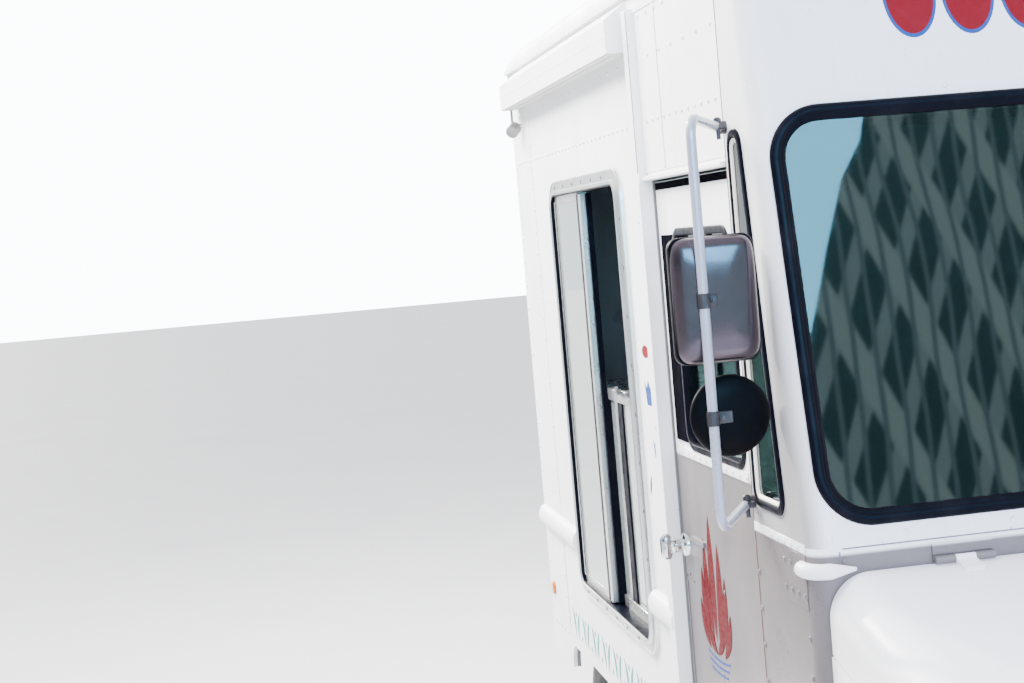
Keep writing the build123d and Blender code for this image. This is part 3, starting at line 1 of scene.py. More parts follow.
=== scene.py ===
import bmesh
import bpy
import numpy as np
from mathutils import Matrix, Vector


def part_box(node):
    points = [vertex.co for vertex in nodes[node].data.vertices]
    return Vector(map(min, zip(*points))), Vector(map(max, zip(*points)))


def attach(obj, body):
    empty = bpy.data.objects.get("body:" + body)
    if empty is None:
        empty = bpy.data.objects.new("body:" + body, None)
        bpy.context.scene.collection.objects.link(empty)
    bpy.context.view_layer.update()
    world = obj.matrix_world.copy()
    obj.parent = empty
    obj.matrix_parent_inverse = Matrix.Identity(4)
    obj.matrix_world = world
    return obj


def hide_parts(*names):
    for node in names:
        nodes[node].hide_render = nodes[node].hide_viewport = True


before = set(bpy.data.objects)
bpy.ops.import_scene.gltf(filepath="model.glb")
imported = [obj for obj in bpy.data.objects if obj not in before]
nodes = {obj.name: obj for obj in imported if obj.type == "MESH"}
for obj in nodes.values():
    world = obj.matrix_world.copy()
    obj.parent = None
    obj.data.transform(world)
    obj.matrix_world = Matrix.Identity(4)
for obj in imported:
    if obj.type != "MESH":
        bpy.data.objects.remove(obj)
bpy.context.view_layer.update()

# Studio round the truck: a low warm key from behind the kerb side that rakes along the white
# panels, cool light from in front, cards that only its glass and paint reflect, and the eye
# ahead of the kerb-side corner, a little above head height.
EYE = (4.9563, -2.1976, 2.1709)
EYE_RIGHT = np.array((0.15499, 0.9842, -0.08562))
EYE_UP = np.array((-0.04407, 0.09347, 0.99465))
LENS = 63.46


def place_eye():
    """Camera whose columns are its right, up and backward directions, at the eye."""
    data = bpy.data.cameras.new("eye")
    data.lens = LENS
    data.sensor_width = 36
    data.clip_end = 200
    eye = bpy.data.objects.new("eye", data)
    bpy.context.scene.collection.objects.link(eye)
    back = np.cross(EYE_RIGHT, EYE_UP)
    turn = Matrix(np.stack([EYE_RIGHT, EYE_UP, back], 1).tolist()).to_4x4()
    eye.matrix_world = Matrix.Translation(EYE) @ turn
    bpy.context.scene.camera = eye


def light(name, kind, energy, colour, towards, at=(0, 0, 0), size=(1, 1), angle=0.03):
    """Sun or rectangular light that shines along a direction."""
    data = bpy.data.lights.new(name, kind)
    data.energy = energy
    data.color = colour
    if kind == "SUN":
        data.angle = angle
    else:
        data.shape = "RECTANGLE"
        data.size, data.size_y = size
    lamp = bpy.data.objects.new(name, data)
    bpy.context.scene.collection.objects.link(lamp)
    away = -np.array(towards, float) / np.linalg.norm(towards)
    side = np.cross((0, 0, 1), away)
    side = side / np.linalg.norm(side)
    turn = Matrix(np.stack([side, np.cross(away, side), away], 1).tolist()).to_4x4()
    lamp.matrix_world = Matrix.Translation(at) @ turn


def card(name, x, outline, material):
    """Flat card across X from (y, z) corners, which only the truck's paint and glass reflect."""
    mesh = bpy.data.meshes.new(name)
    mesh.from_pydata([(x, y, z) for y, z in outline], [], [list(range(len(outline)))])
    mesh.materials.append(material)
    made = bpy.data.objects.new(name, mesh)
    bpy.context.scene.collection.objects.link(made)
    made.visible_camera = False
    made.visible_shadow = False
    made.visible_transmission = False
    made.visible_diffuse = False


def glow(name, colour, strength):
    """Plain glowing surface; its colour socket can be fed by a pattern."""
    made = bpy.data.materials.new(name)
    made.use_nodes = True
    tree = made.node_tree
    tree.nodes.clear()
    shine = tree.nodes.new("ShaderNodeEmission")
    shine.inputs["Color"].default_value = (*colour, 1)
    shine.inputs["Strength"].default_value = strength
    tree.links.new(shine.outputs[0], tree.nodes.new("ShaderNodeOutputMaterial").inputs["Surface"])
    return made


place_eye()
light("low_key", "SUN", 6.5, (1.0, 0.97, 0.93), (0.75, 0.30, -0.36), angle=0.035)
light("kerb_card", "AREA", 1900, (0.99, 0.98, 1.0), (0.12, 1.0, -1.2), at=(-2.2, -2.7, 5.0), size=(7, 1.6))
light("far_card", "AREA", 520, (0.99, 0.98, 1.0), (-0.1, -1.0, -0.3), at=(0.0, 9.0, 4.5), size=(9, 6))
light("front_card", "AREA", 1900, (0.61, 0.70, 1.0), (-1.0, 0.12, -0.18), at=(9.2, -1.6, 3.4), size=(5, 4))
for hidden in ("kerb_card", "front_card"):
    bpy.data.objects[hidden].visible_glossy = False
    bpy.data.objects[hidden].visible_camera = False


def feed(tree, socket, value):
    """Joins an output to a socket, or sets the socket's own value."""
    if isinstance(value, bpy.types.NodeSocket):
        tree.links.new(value, socket)
    else:
        socket.default_value = value


def node_in(tree, kind, sources, **settings):
    """Adds a node to a tree and feeds its sockets from outputs or from plain values."""
    node = tree.nodes.new(kind)
    for key, value in settings.items():
        setattr(node, key, value)
    for socket, value in sources.items():
        feed(tree, node.inputs[socket], value)
    return node


# Outlines of the bright blue card, the barred card behind it and the low dark one, as (y, z).
BLUE_CARD = ((-4.5, 3.6), (1.70, 3.6), (1.78, 4.6), (2.05, 5.35), (2.28, 5.90), (2.50, 6.20), (2.60, 6.48),
             (2.95, 7.4), (3.2, 9.0), (-4.5, 9.0))
BARRED_CARD = ((-9.0, -1.0), (18.0, -1.0), (18.0, 13.0), (-9.0, 13.0))
DARK_CARD = ((-9.0, 0.0), (-1.78, 0.0), (-1.80, 1.45), (-2.0, 1.72), (-3.2, 1.66), (-5.0, 1.78), (-9.0, 1.6))
# Bars on the barred card: turn, wave scale, the wave's two stops, colour.
CARD_BARS = ((0.42, 0.85, 0.62, 0.80, (1.5, 2.2, 2.4, 1)),
             (-0.36, 0.48, 0.70, 0.84, (1.9, 2.7, 2.8, 1)),
             (0.05, 1.9, 0.80, 0.90, (0.8, 1.3, 1.5, 1)))
card("blue_card", 9.5, BLUE_CARD, glow("blue_glow", (0.22, 0.68, 1.0), 23.0))
barred = glow("barred_glow", (0.02, 0.05, 0.055), 1.0)
barred_tree = barred.node_tree
barred_at = node_in(barred_tree, "ShaderNodeTexCoord", {}).outputs["Object"]
barred_tone = (0.20, 0.48, 0.56, 1)
for turned_by, pitch, low, high, tone in CARD_BARS:
    way = node_in(barred_tree, "ShaderNodeMapping", {"Vector": barred_at, "Rotation": (turned_by, 0.0, 0.0)})
    bars = node_in(barred_tree, "ShaderNodeTexWave",
                   {"Vector": way.outputs["Vector"], "Scale": pitch, "Distortion": 4.5, "Detail Scale": 0.22},
                   bands_direction="Y")
    share = node_in(barred_tree, "ShaderNodeMapRange",
                    {"Value": bars.outputs["Fac"], "From Min": low, "From Max": high})
    mixed = node_in(barred_tree, "ShaderNodeMix", {"Factor": share.outputs["Result"], 6: barred_tone, 7: tone},
                    data_type="RGBA")
    barred_tone = mixed.outputs[2]
barred_tree.links.new(barred_tone, barred_tree.nodes["Emission"].inputs["Color"])
card("barred_card", 11.0, BARRED_CARD, barred)
card("dark_card", -3.0, DARK_CARD, glow("dark_glow", (0.06, 0.075, 0.085), 1.0))
world = bpy.data.worlds.new("pale_room")
bpy.context.scene.world = world
world.use_nodes = True
room = world.node_tree
air = room.nodes["Background"]
air.inputs["Color"].default_value = (0.88, 0.92, 1.0, 1)
looking = node_in(room, "ShaderNodeTexCoord", {}).outputs["Generated"]
air_way = node_in(room, "ShaderNodeSeparateXYZ", {0: looking})
behind = node_in(room, "ShaderNodeMapRange",
                 {"Value": air_way.outputs["X"], "From Min": 0.3, "From Max": -0.8, "To Min": 0.32, "To Max": 1.9})
above = node_in(room, "ShaderNodeMapRange",
                {"Value": air_way.outputs["Z"], "From Min": 0.2, "From Max": 0.9, "To Min": 0.0, "To Max": 1.5})
level = node_in(room, "ShaderNodeMath", {0: behind.outputs[0], 1: above.outputs[0]}, operation="ADD")
seen = node_in(room, "ShaderNodeLightPath", {}).outputs["Is Camera Ray"]
level = node_in(room, "ShaderNodeMapRange", {"Value": seen, "To Min": level.outputs[0], "To Max": 14.0})
room.links.new(level.outputs[0], air.inputs["Strength"])

# Chassis: pressed channel rails and crossmembers, sprung axles and knuckles, the engine's
# grey mass, the exhaust and the tank, all with road dust over black paint or bare castings.
DUST = (0.20, 0.17, 0.14)


class Nodes:
    """Material whose patterns are built from the object's own coordinates."""

    def __init__(self, name):
        self.material = bpy.data.materials.new(name)
        self.material.use_nodes = True
        self.tree = self.material.node_tree
        self.shader = self.tree.nodes["Principled BSDF"]
        self.coordinates = self.tree.nodes.new("ShaderNodeTexCoord").outputs["Object"]

    def noise(self, scale, detail=3.0, stretch=(1, 1, 1)):
        """Noise factor at a scale per metre, stretched along the axes."""
        mapping = node_in(self.tree, "ShaderNodeMapping", {"Vector": self.coordinates, "Scale": stretch})
        return node_in(self.tree, "ShaderNodeTexNoise", {"Vector": mapping.outputs["Vector"], "Scale": scale,
                                                         "Detail": detail}).outputs["Fac"]

    def math(self, operation, a, b=0.0):
        """One arithmetic step on one or two numbers."""
        return node_in(self.tree, "ShaderNodeMath", {0: a, 1: b}, operation=operation).outputs[0]

    def ramp(self, value, low, high, from_value=0.0, to_value=1.0):
        """Straight ramp of a number between two stops, clamped."""
        stops = {"Value": value, "From Min": low, "From Max": high, "To Min": from_value, "To Max": to_value}
        return node_in(self.tree, "ShaderNodeMapRange", stops, clamp=True).outputs["Result"]

    def blend(self, factor, a, b):
        """Colour between a and b."""
        a, b = (tone if isinstance(tone, bpy.types.NodeSocket) else (*tone, 1) for tone in (a, b))
        return node_in(self.tree, "ShaderNodeMix", {"Factor": factor, 6: a, 7: b}, data_type="RGBA").outputs[2]

    def axis(self, name):
        """X, Y or Z of the object coordinates."""
        return node_in(self.tree, "ShaderNodeSeparateXYZ", {0: self.coordinates}).outputs[name]

    def relief(self, height, distance, strength=1.0, before=None):
        """Bump from a height, on top of an earlier bump if one is given."""
        sources = {"Height": height, "Strength": strength, "Distance": distance}
        if before is not None:
            sources["Normal"] = before
        return node_in(self.tree, "ShaderNodeBump", sources).outputs["Normal"]

    def set(self, **values):
        """Sets the shader's own sockets by plain names."""
        names = {"colour": "Base Color", "rough": "Roughness", "metal": "Metallic", "ior": "IOR",
                 "coat": "Coat Weight", "coat_rough": "Coat Roughness", "clear": "Transmission Weight",
                 "normal": "Normal", "specular": "Specular IOR Level"}
        for key, value in values.items():
            feed(self.tree, self.shader.inputs[names[key]], value)


def finish(name, colour, worn, rough, metal=0.0, coat=0.0, patch=6.0, amount=0.35, grain=300.0,
           depth=0.0002, stretch=(1, 1, 1), specular=0.5):
    """Finish whose colour goes to a worn tone in patches, with drifting gloss and fine grain."""
    made = Nodes(name)
    wear = made.ramp(made.noise(patch, 6.0, stretch), 0.5, 0.75, 0.0, amount)
    made.set(colour=made.blend(wear, colour, worn), metal=metal, coat=coat, specular=specular)
    made.set(rough=made.ramp(made.noise(patch * 2.3, 4.0, stretch), 0.3, 0.7, rough * 0.8, min(1, rough * 1.2)))
    made.set(normal=made.relief(made.noise(grain, 3.0, stretch), depth))
    return made.material


def dress(material, *names):
    """Gives a CAD node one material in all its slots."""
    for name in names:
        mesh = nodes[name].data
        mesh.materials.clear()
        mesh.materials.append(material)


frame_paint = finish("frame_paint", (0.016, 0.016, 0.018), DUST, 0.5, patch=5, amount=0.5)
casting = finish("casting", (0.06, 0.055, 0.05), (0.16, 0.10, 0.06), 0.75, 0.3, patch=9, amount=0.6, depth=0.0006)
engine_paint = finish("engine_paint", (0.10, 0.11, 0.12), DUST, 0.55, patch=7, amount=0.5, depth=0.0005)
pipe_metal = finish("pipe_metal", (0.26, 0.22, 0.18), (0.20, 0.09, 0.04), 0.6, 0.7, patch=8, amount=0.8)
dress(frame_paint, "frame_rails", "frame_crossmembers", "fuel_tank")
dress(casting, "front_axle", "rear_axle", "knuckle_left", "knuckle_right")
dress(engine_paint, "engine")
dress(pipe_metal, "exhaust")


def grid_faces(rows, cols, wrap_rows=False, wrap_cols=False):
    """Quads of a grid of points: cell (i, j) joins rows i, i + 1 and columns j, j + 1, modulo a
    wrapped side."""
    i, j = np.meshgrid(np.arange(rows if wrap_rows else rows - 1),
                       np.arange(cols if wrap_cols else cols - 1), indexing="ij")
    below, after = (i + 1) % rows, (j + 1) % cols
    return np.stack([i * cols + j, i * cols + after, below * cols + after, below * cols + j], -1).reshape(-1, 4)


SHARP_EDGE = np.radians(38)


def piece(name, points, faces, material, body, slot, smooth=True):
    """Object from points and faces, riding on a body; faces of a closed shell are turned outwards."""
    mesh = bpy.data.meshes.new(name)
    faces = [list(face) for group in faces for face in group.tolist()]
    mesh.from_pydata(np.reshape(points, (-1, 3)).tolist(), [], faces)
    work = bmesh.new()
    work.from_mesh(mesh)
    bmesh.ops.remove_doubles(work, verts=work.verts, dist=1e-6)
    bmesh.ops.recalc_face_normals(work, faces=work.faces)
    work.to_mesh(mesh)
    work.free()
    mesh.materials.append(material)
    mesh.polygons.foreach_set("use_smooth", np.full(len(mesh.polygons), smooth))
    made = bpy.data.objects.new(name, mesh)
    bpy.context.scene.collection.objects.link(made)
    if smooth:
        mesh.set_sharp_from_angle(angle=SHARP_EDGE)
    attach(made, body)
    return made


# Chassis fastenings: rows of hexagon bolts along the rail webs and the spring clamps, which
# are zinc-plated steel under dust.
zinc = finish("zinc", (0.42, 0.41, 0.38), DUST, 0.45, 0.9, patch=14, amount=0.7)


def turned(radii, heights, sides):
    """Solid of revolution about its own axis: point (k, t) is radius k round angle t at height k."""
    angle = np.arange(sides) * 2 * np.pi / sides
    radii, heights = np.array(radii, float)[:, None], np.array(heights, float)[:, None]
    points = np.stack([radii * np.cos(angle), radii * np.sin(angle), heights + 0 * angle], -1)
    faces = [grid_faces(len(radii), sides, wrap_cols=True)]
    for row in (0, len(radii) - 1):
        faces.append((row * sides + np.arange(sides))[None])
    return points.reshape(-1, 3), faces


def strewn(shape, centres, normals, scale=1.0):
    """Copies of a shape at centres, its axis along each normal: centre + x u + y v + z n."""
    points, faces = shape
    centres = np.reshape(centres, (-1, 3)).astype(float)
    normals = np.broadcast_to(np.array(normals, float), centres.shape)
    normals = normals / np.linalg.norm(normals, axis=1, keepdims=True)
    helper = np.where(np.abs(normals[:, 2:]) > 0.9, (1.0, 0, 0), (0, 0, 1.0))
    u = np.cross(helper, normals)
    u = u / np.linalg.norm(u, axis=1, keepdims=True)
    v = np.cross(normals, u)
    local = points * scale
    placed = (centres[:, None] + local[None, :, :1] * u[:, None] + local[None, :, 1:2] * v[:, None]
              + local[None, :, 2:] * normals[:, None])
    shift = np.arange(len(centres)) * len(points)
    return placed.reshape(-1, 3), [(group[None] + shift[:, None, None]).reshape(-1, group.shape[1])
                                   for group in faces]


def joined(*parts):
    """Several point and face sets as one."""
    points, faces, count = [], [], 0
    for some_points, some_faces in parts:
        some_points = np.reshape(some_points, (-1, 3))
        points.append(some_points)
        faces += [group + count for group in some_faces]
        count += len(some_points)
    return np.concatenate(points), faces


BOLT = turned((0.009, 0.009, 0.0085, 0.0), (0.0, 0.008, 0.009, 0.0095), 6)
rail_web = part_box("frame_rails")[1][1] - 0.0002
bolts = np.array([(x, side * rail_web, z) for side in (-1, 1)
                  for x in (-1.9, -1.5, -0.6, 0.45, 0.9, 1.7) for z in (0.58, 0.65)])
piece("frame_bolts", *strewn(BOLT, bolts, np.sign(bolts[:, 1:2]) * (0, 1, 0)), zinc, "body", "cast_steel",
      smooth=False)

# Wheels: white painted disc wheels with brake dust, and bias-look tyres with four grooves
# and staggered cross sipes, moulded in black rubber that has greyed on its side walls.
TREAD_R = 0.38
SHOULDER_R = 0.371
SHOULDER_HALF = 0.088
TYRE_RADII = (0.2033, 0.217, 0.245, 0.290, 0.332, SHOULDER_R, TREAD_R)
TYRE_HALVES = (0.072, 0.073, 0.0985, 0.1075, 0.1025, SHOULDER_HALF, 0.0)
TREAD_STEPS = 264
TREAD_DEPTH = 0.007
rim_paint = finish("rim_paint", (0.66, 0.66, 0.63), (0.30, 0.24, 0.18), 0.38, patch=9, amount=0.55)
rubber = Nodes("tyre_rubber")
rubber.set(colour=rubber.blend(rubber.ramp(rubber.noise(4, 5), 0.4, 0.8, 0.04, 0.2), (0.014, 0.014, 0.015), DUST),
           rough=0.82, normal=rubber.relief(rubber.noise(500, 3), 0.0002))
dress(rim_paint, "wheel_front_left", "wheel_front_right", "wheels_rear_left", "wheels_rear_right")


def tyre_form():
    """Tyre about the Y axis: section (radius, width) turned through theta; under the tread the
    radius drops by 7 mm in four round grooves and in staggered cross cuts."""
    radii, halves = np.array(TYRE_RADII), np.array(TYRE_HALVES)
    along = np.linspace(0, len(radii) - 1, 40)
    wall_r = np.interp(along[:-9], np.arange(len(radii)), radii)
    wall_w = np.interp(along[:-9], np.arange(len(radii)), halves)
    tread_w = np.linspace(wall_w[-1], -wall_w[-1], 45)[1:-1]
    tread_r = np.interp(-np.abs(tread_w), (-SHOULDER_HALF, 0.0), (SHOULDER_R, TREAD_R))
    section_r = np.concatenate([wall_r, tread_r, wall_r[::-1]])
    section_w = np.concatenate([wall_w, tread_w, -wall_w[::-1]])
    theta = np.arange(TREAD_STEPS) * 2 * np.pi / TREAD_STEPS
    width, angle = np.meshgrid(section_w, theta)
    radius = np.broadcast_to(section_r, width.shape).copy()
    on_tread = np.abs(width) < SHOULDER_HALF + 0.001
    ring = np.abs(np.abs(width) - 0.047) < 0.005
    ring |= np.abs(np.abs(width) - 0.014) < 0.004
    band = np.floor((width + 0.2) / 0.033)
    cut = (np.mod(np.round(angle / (2 * np.pi) * TREAD_STEPS) + 2 * band, 6) < 1) & (np.abs(width) > 0.02)
    radius -= TREAD_DEPTH * (on_tread & (ring | cut))
    points = np.stack([radius * np.sin(angle), width, radius * np.cos(angle)], -1)
    return points.reshape(-1, 3), [grid_faces(TREAD_STEPS, len(section_r), True, True)]


tyre_points, tyre_faces = tyre_form()
for hand, side in (("left", 1), ("right", -1)):
    for name, x, ys, body in (("tyre_front_", 1.465, (0.86,), "wheel_front_"),
                              ("tyres_rear_", -1.175, (0.67, 0.925), "wheels_rear_")):
        shapes = [(tyre_points + (x, side * y, TREAD_R), tyre_faces) for y in ys]
        made = piece("tread_" + name + hand, *joined(*shapes), rubber.material, body + hand, "tyre_black")
        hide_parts(name + hand)

# Floor: ribbed aluminium plate over the sills, scuffed bright along the walkways.
floor_metal = Nodes("floor_metal")
lozenge = node_in(floor_metal.tree, "ShaderNodeTexVoronoi", {"Vector": floor_metal.coordinates, "Scale": 38})
floor_scuffs = floor_metal.ramp(floor_metal.noise(3, 6), 0.4, 0.7)
floor_metal.set(
    colour=floor_metal.blend(floor_scuffs, (0.34, 0.34, 0.34), (0.18, 0.17, 0.15)),
    rough=floor_metal.ramp(floor_metal.noise(7, 5), 0.3, 0.7, 0.35, 0.65), metal=0.85,
    normal=floor_metal.relief(floor_metal.ramp(lozenge.outputs["Distance"], 0.0, 0.35, 1.0, 0.0), 0.0015))
dress(floor_metal.material, "floor")

# Body panels: aluminium sheets in old white enamel, slightly wavy between their rivets, with
# rain streaks, road dust low down, a warm second paint on the door and cowl sides darkened as painted shade, and
# painted shade where the cab front turns to its sides.
HALF = 1.067
FACE_X = 1.385
BELT_Z = 1.47
RAKE = np.radians(11.5)
WHITE = (0.83, 0.83, 0.83)
CREAM = (0.80, 0.79, 0.765)
# Warm second paint, made dark enough to be painted shade as well; on the cab corner it is painted shade only.
SHADED_BEIGE = (0.108, 0.091, 0.088)


def body_paint(name, warm_shade_below=None, skin=HALF, corner_shade=0.0):
    """White enamel: streak, dirt and warm masks mix the tones, the warm and corner tones also paint shade, and the
    lining inside is grey.
    """
    made = Nodes(name)
    x, y, z = made.axis("X"), made.axis("Y"), made.axis("Z")
    tone = made.blend(made.ramp(made.noise(1.3, 5), 0.35, 0.7), WHITE, CREAM)
    # Below the given height the enamel turns to the warm paint, whose darkness is partly painted shade.
    if warm_shade_below is not None:
        warm = made.ramp(z, warm_shade_below - 0.004, warm_shade_below + 0.004, 1.0, 0.0)
        tone = made.blend(made.math("MULTIPLY", warm, made.ramp(made.noise(2.2, 4), 0.2, 0.8, 0.9, 1.0)), tone, SHADED_BEIGE)
    # Painted shade: the cab front is darker where it turns to the side, and more so lower down.
    if corner_shade:
        turn = made.ramp(made.math("ABSOLUTE", y), skin - 0.045, skin - 0.004, 0.0, corner_shade)
        tone = made.blend(made.math("MULTIPLY", turn, made.ramp(z, 1.5, 2.4, 1.0, 0.3)), tone, SHADED_BEIGE)
    streak = made.ramp(made.noise(34, 4, (1, 1, 0.03)), 0.62, 0.8, 0.0, 0.16)
    tone = made.blend(streak, tone, (0.42, 0.33, 0.25))
    dust = made.ramp(made.noise(6, 6), 0.3, 0.75, 0.3, 1.0)
    tone = made.blend(made.math("MULTIPLY", made.ramp(z, 0.5, 1.05, 0.42, 0.0), dust), tone, (0.36, 0.31, 0.26))
    speck = made.ramp(made.noise(120, 2), 0.735, 0.76, 0.0, 0.5)
    tone = made.blend(speck, tone, (0.16, 0.10, 0.07))
    across = made.ramp(made.math("ABSOLUTE", y), skin - 0.015, skin - 0.013, 1.0, 0.0)
    above_belt = made.math("MAXIMUM", made.math("SUBTRACT", z, BELT_Z), 0.0)
    raked = made.math("ADD", x, made.math("MULTIPLY", above_belt, float(np.tan(RAKE))))
    ahead = made.ramp(raked, FACE_X - 0.016, FACE_X - 0.014, 1.0, 0.0)
    behind = made.ramp(x, -1.988, -1.986, 0.0, 1.0)
    under = made.ramp(z, 2.845, 2.847, 1.0, 0.0)
    inside = made.math("MULTIPLY", made.math("MULTIPLY", across, ahead), made.math("MULTIPLY", behind, under))
    made.set(colour=made.blend(inside, tone, (0.16, 0.16, 0.155)))
    made.set(rough=made.ramp(made.noise(5, 5), 0.3, 0.7, 0.26, 0.48), ior=1.45, specular=0.3)
    made.set(coat=0.05, coat_rough=0.12)
    wave = made.relief(made.noise(2.4, 2), 0.004, 0.5)
    made.set(normal=made.relief(made.noise(420, 2), 0.00006, 0.6, wave))
    return made.material


enamel = body_paint("white_enamel")
enamel_warm_shaded = body_paint("white_enamel_warm_low", 1.549, 1.047)
enamel_cowl = body_paint("white_enamel_cowl", 1.455)
enamel_shaded_corner = body_paint("white_enamel_corner", corner_shade=0.7)
dress(enamel, "side_panel_left", "side_panel_right", "nose", "hood", "rear_frame",
      "rear_door_left", "rear_door_right", "roof", "awning_box")
dress(enamel_warm_shaded, "cab_door_left", "cab_door_right")
dress(enamel_cowl, "cowl")
dress(enamel_shaded_corner, "cab_front")

# Panel joints: lap strips cut from the same aluminium sheet and rows of round-headed rivets
# that hold the skins to the frame, all painted over.
RIVET = turned((0.0065, 0.0061, 0.0045, 0.0), (0.0, 0.0016, 0.0031, 0.0038), 10)
SKIN = HALF + 0.0002


def block(low, high, ease=0.0015):
    """Box with eased edges: at each corner one point a face, set back by ease from the other two."""
    corners = np.array([(i, j, k) for i in (0, 1) for j in (0, 1) for k in (0, 1)])
    low, high = np.array(low, float), np.array(high, float)
    base = np.where(corners == 1, high, low)
    inward = np.where(corners == 1, -ease, ease)
    points = (base[:, None] + inward[:, None] * (1 - np.eye(3))[None]).reshape(-1, 3)
    number = {tuple(corner): place for place, corner in enumerate(corners.tolist())}
    quads = []
    for axis in range(3):
        b, c = [other for other in range(3) if other != axis]
        for side in (0, 1):
            around = []
            for i, j in ((0, 0), (0, 1), (1, 1), (1, 0)):
                key = [0, 0, 0]
                key[axis], key[b], key[c] = side, i, j
                around.append(number[tuple(key)] * 3 + axis)
            quads.append(around)
        for i, j in ((0, 0), (0, 1), (1, 0), (1, 1)):
            key = [0, 0, 0]
            key[b], key[c] = i, j
            one = number[tuple(key)]
            key[axis] = 1
            two = number[tuple(key)]
            quads.append([one * 3 + b, one * 3 + c, two * 3 + c, two * 3 + b])
    return points, [np.array(quads), np.arange(24).reshape(8, 3)]


def slab(side, xs, ys, zs, ease=0.0015):
    """Eased box on one side of the truck: y runs between the side's sign times each of ys."""
    y_low, y_high = sorted(side * y for y in ys)
    return block((xs[0], y_low, zs[0]), (xs[1], y_high, zs[1]), ease)


def row(xs, y, z):
    """Points one behind the other along X."""
    return np.array([(x, y, z) for x in xs])


def column(x, y, zs):
    """Points one above the other."""
    return np.array([(x, y, z) for z in zs])


LAP = 0.0022
panel_strips, panel_rivets = [], []
for side in (-1, 1):
    skin, lap = side * SKIN, side * (SKIN + LAP)
    panel_strips.append(slab(side, (-1.985, 0.972), (SKIN, SKIN + LAP), (2.738, 2.754), 0.0008))
    for x in (-1.62, 0.402) if side < 0 else (-1.62, -0.62, -0.10, 0.402):
        ends = (2.315 if x > 0 else 0.70, 2.738 if x > 0 or side > 0 else 2.64)
        panel_strips.append(slab(side, (x - 0.011, x + 0.011), (SKIN, SKIN + LAP), ends, 0.0008))
    rivets = [row(np.arange(-1.92, 0.94, 0.062), skin, 2.445), row(np.arange(-1.92, 0.94, 0.124), skin, 2.615),
              row(np.arange(-1.92, 0.10, 0.062), skin, 0.672), row(np.arange(-1.92, 0.94, 0.09), skin, 2.724),
              column(-1.945, skin, np.arange(0.72, 2.7, 0.09)), column(-1.62, lap, np.arange(0.74, 2.6, 0.08))]
    if side > 0:
        rivets += [column(x, lap, np.arange(0.74, 2.7, 0.08)) for x in (-0.62, -0.10)]
        rivets.append(row(np.arange(-1.92, 0.10, 0.124), skin, 1.47))
    rivets = np.concatenate(rivets)
    along, up = rivets[:, 0], rivets[:, 2]
    wheel_arch = (np.abs(along + 1.175) < 0.47) & (up < 0.70)
    door_post = (along > 0.105) & (along < 0.205)
    keep = ~(wheel_arch | door_post)
    if side < 0:
        keep &= (along < -1.285) | (along > -0.085) | (up < 0.88) | (up > 2.37)
        keep &= (up < 2.62) | (along > 0.13) | (along < -1.84)
    panel_rivets.append(strewn(RIVET, rivets[keep], (0, side, 0)))
piece("panel_lap_strips", *joined(*panel_strips), enamel, "body", "white_paint", smooth=False)
piece("panel_rivets", *joined(*panel_rivets), enamel, "body", "white_paint")

# Cab corner: the belt lap, the riveted patches on the quarter panels and the half-round ledge
# that turns the corner over the wing, folded from painted sheet, with dark strips painted as
# the shadow in the seams between them and rusty seams down the door's edge.


def face_point(y, z, proud=0.0):
    """Point on the raked cab face, proud of it along its own normal."""
    x = FACE_X - (z - BELT_Z) * np.tan(RAKE) if z > BELT_Z else FACE_X
    tilt = RAKE if z > BELT_Z else 0.0
    return np.array((x + proud * np.cos(tilt), y, z + proud * np.sin(tilt)))


def unit(vectors):
    """Vectors at length one."""
    return vectors / np.linalg.norm(vectors, axis=-1, keepdims=True)


def eased(corners, radius, steps=8, closed=True):
    """Corner points turned into arcs: centre at corner + (a + b) R / (|a + b| sin(half angle))."""
    corners = np.array(corners, float)
    count = len(corners)
    found = []
    for index in range(count):
        corner = corners[index]
        if not closed and index in (0, count - 1):
            found.append(corner)
            continue
        a = unit(corners[index - 1] - corner)
        b = unit(corners[(index + 1) % count] - corner)
        half = 0.5 * np.arccos(np.clip(a @ b, -1, 1))
        if half > 1.56:
            found.append(corner)
            continue
        set_back = radius / np.tan(half)
        centre = corner + unit(a + b) * radius / np.sin(half)
        start, end = corner + a * set_back - centre, corner + b * set_back - centre
        sweep = np.pi - 2 * half
        for share in np.linspace(0, 1, steps + 1):
            found.append(centre + (np.sin((1 - share) * sweep) * start + np.sin(share * sweep) * end) / np.sin(sweep))
    return np.array(found)


def tube(path, radius, sides=12, radii=None):
    """Round bar along a path: P + r (cos t u + sin t v), its frame carried along without twist."""
    path = np.array(path, float)
    ahead = unit(np.diff(path, axis=0))
    tangents = unit(np.concatenate([ahead[:1], ahead[:-1] + ahead[1:], ahead[-1:]]))
    u = np.cross(tangents[0], (0.31, 0.52, 0.79))
    frames = []
    for tangent in tangents:
        u = unit(u - tangent * (u @ tangent))
        frames.append((u, np.cross(tangent, u)))
    angle = np.arange(sides) * 2 * np.pi / sides
    widths = np.full(len(path), radius) if radii is None else np.array(radii)
    points = np.stack([point + width * (np.cos(angle)[:, None] * u + np.sin(angle)[:, None] * v)
                       for point, width, (u, v) in zip(path, widths, frames)])
    last = (len(path) - 1) * sides
    return points.reshape(-1, 3), [grid_faces(len(path), sides, wrap_cols=True), np.arange(sides)[None],
                                   last + np.arange(sides)[None]]


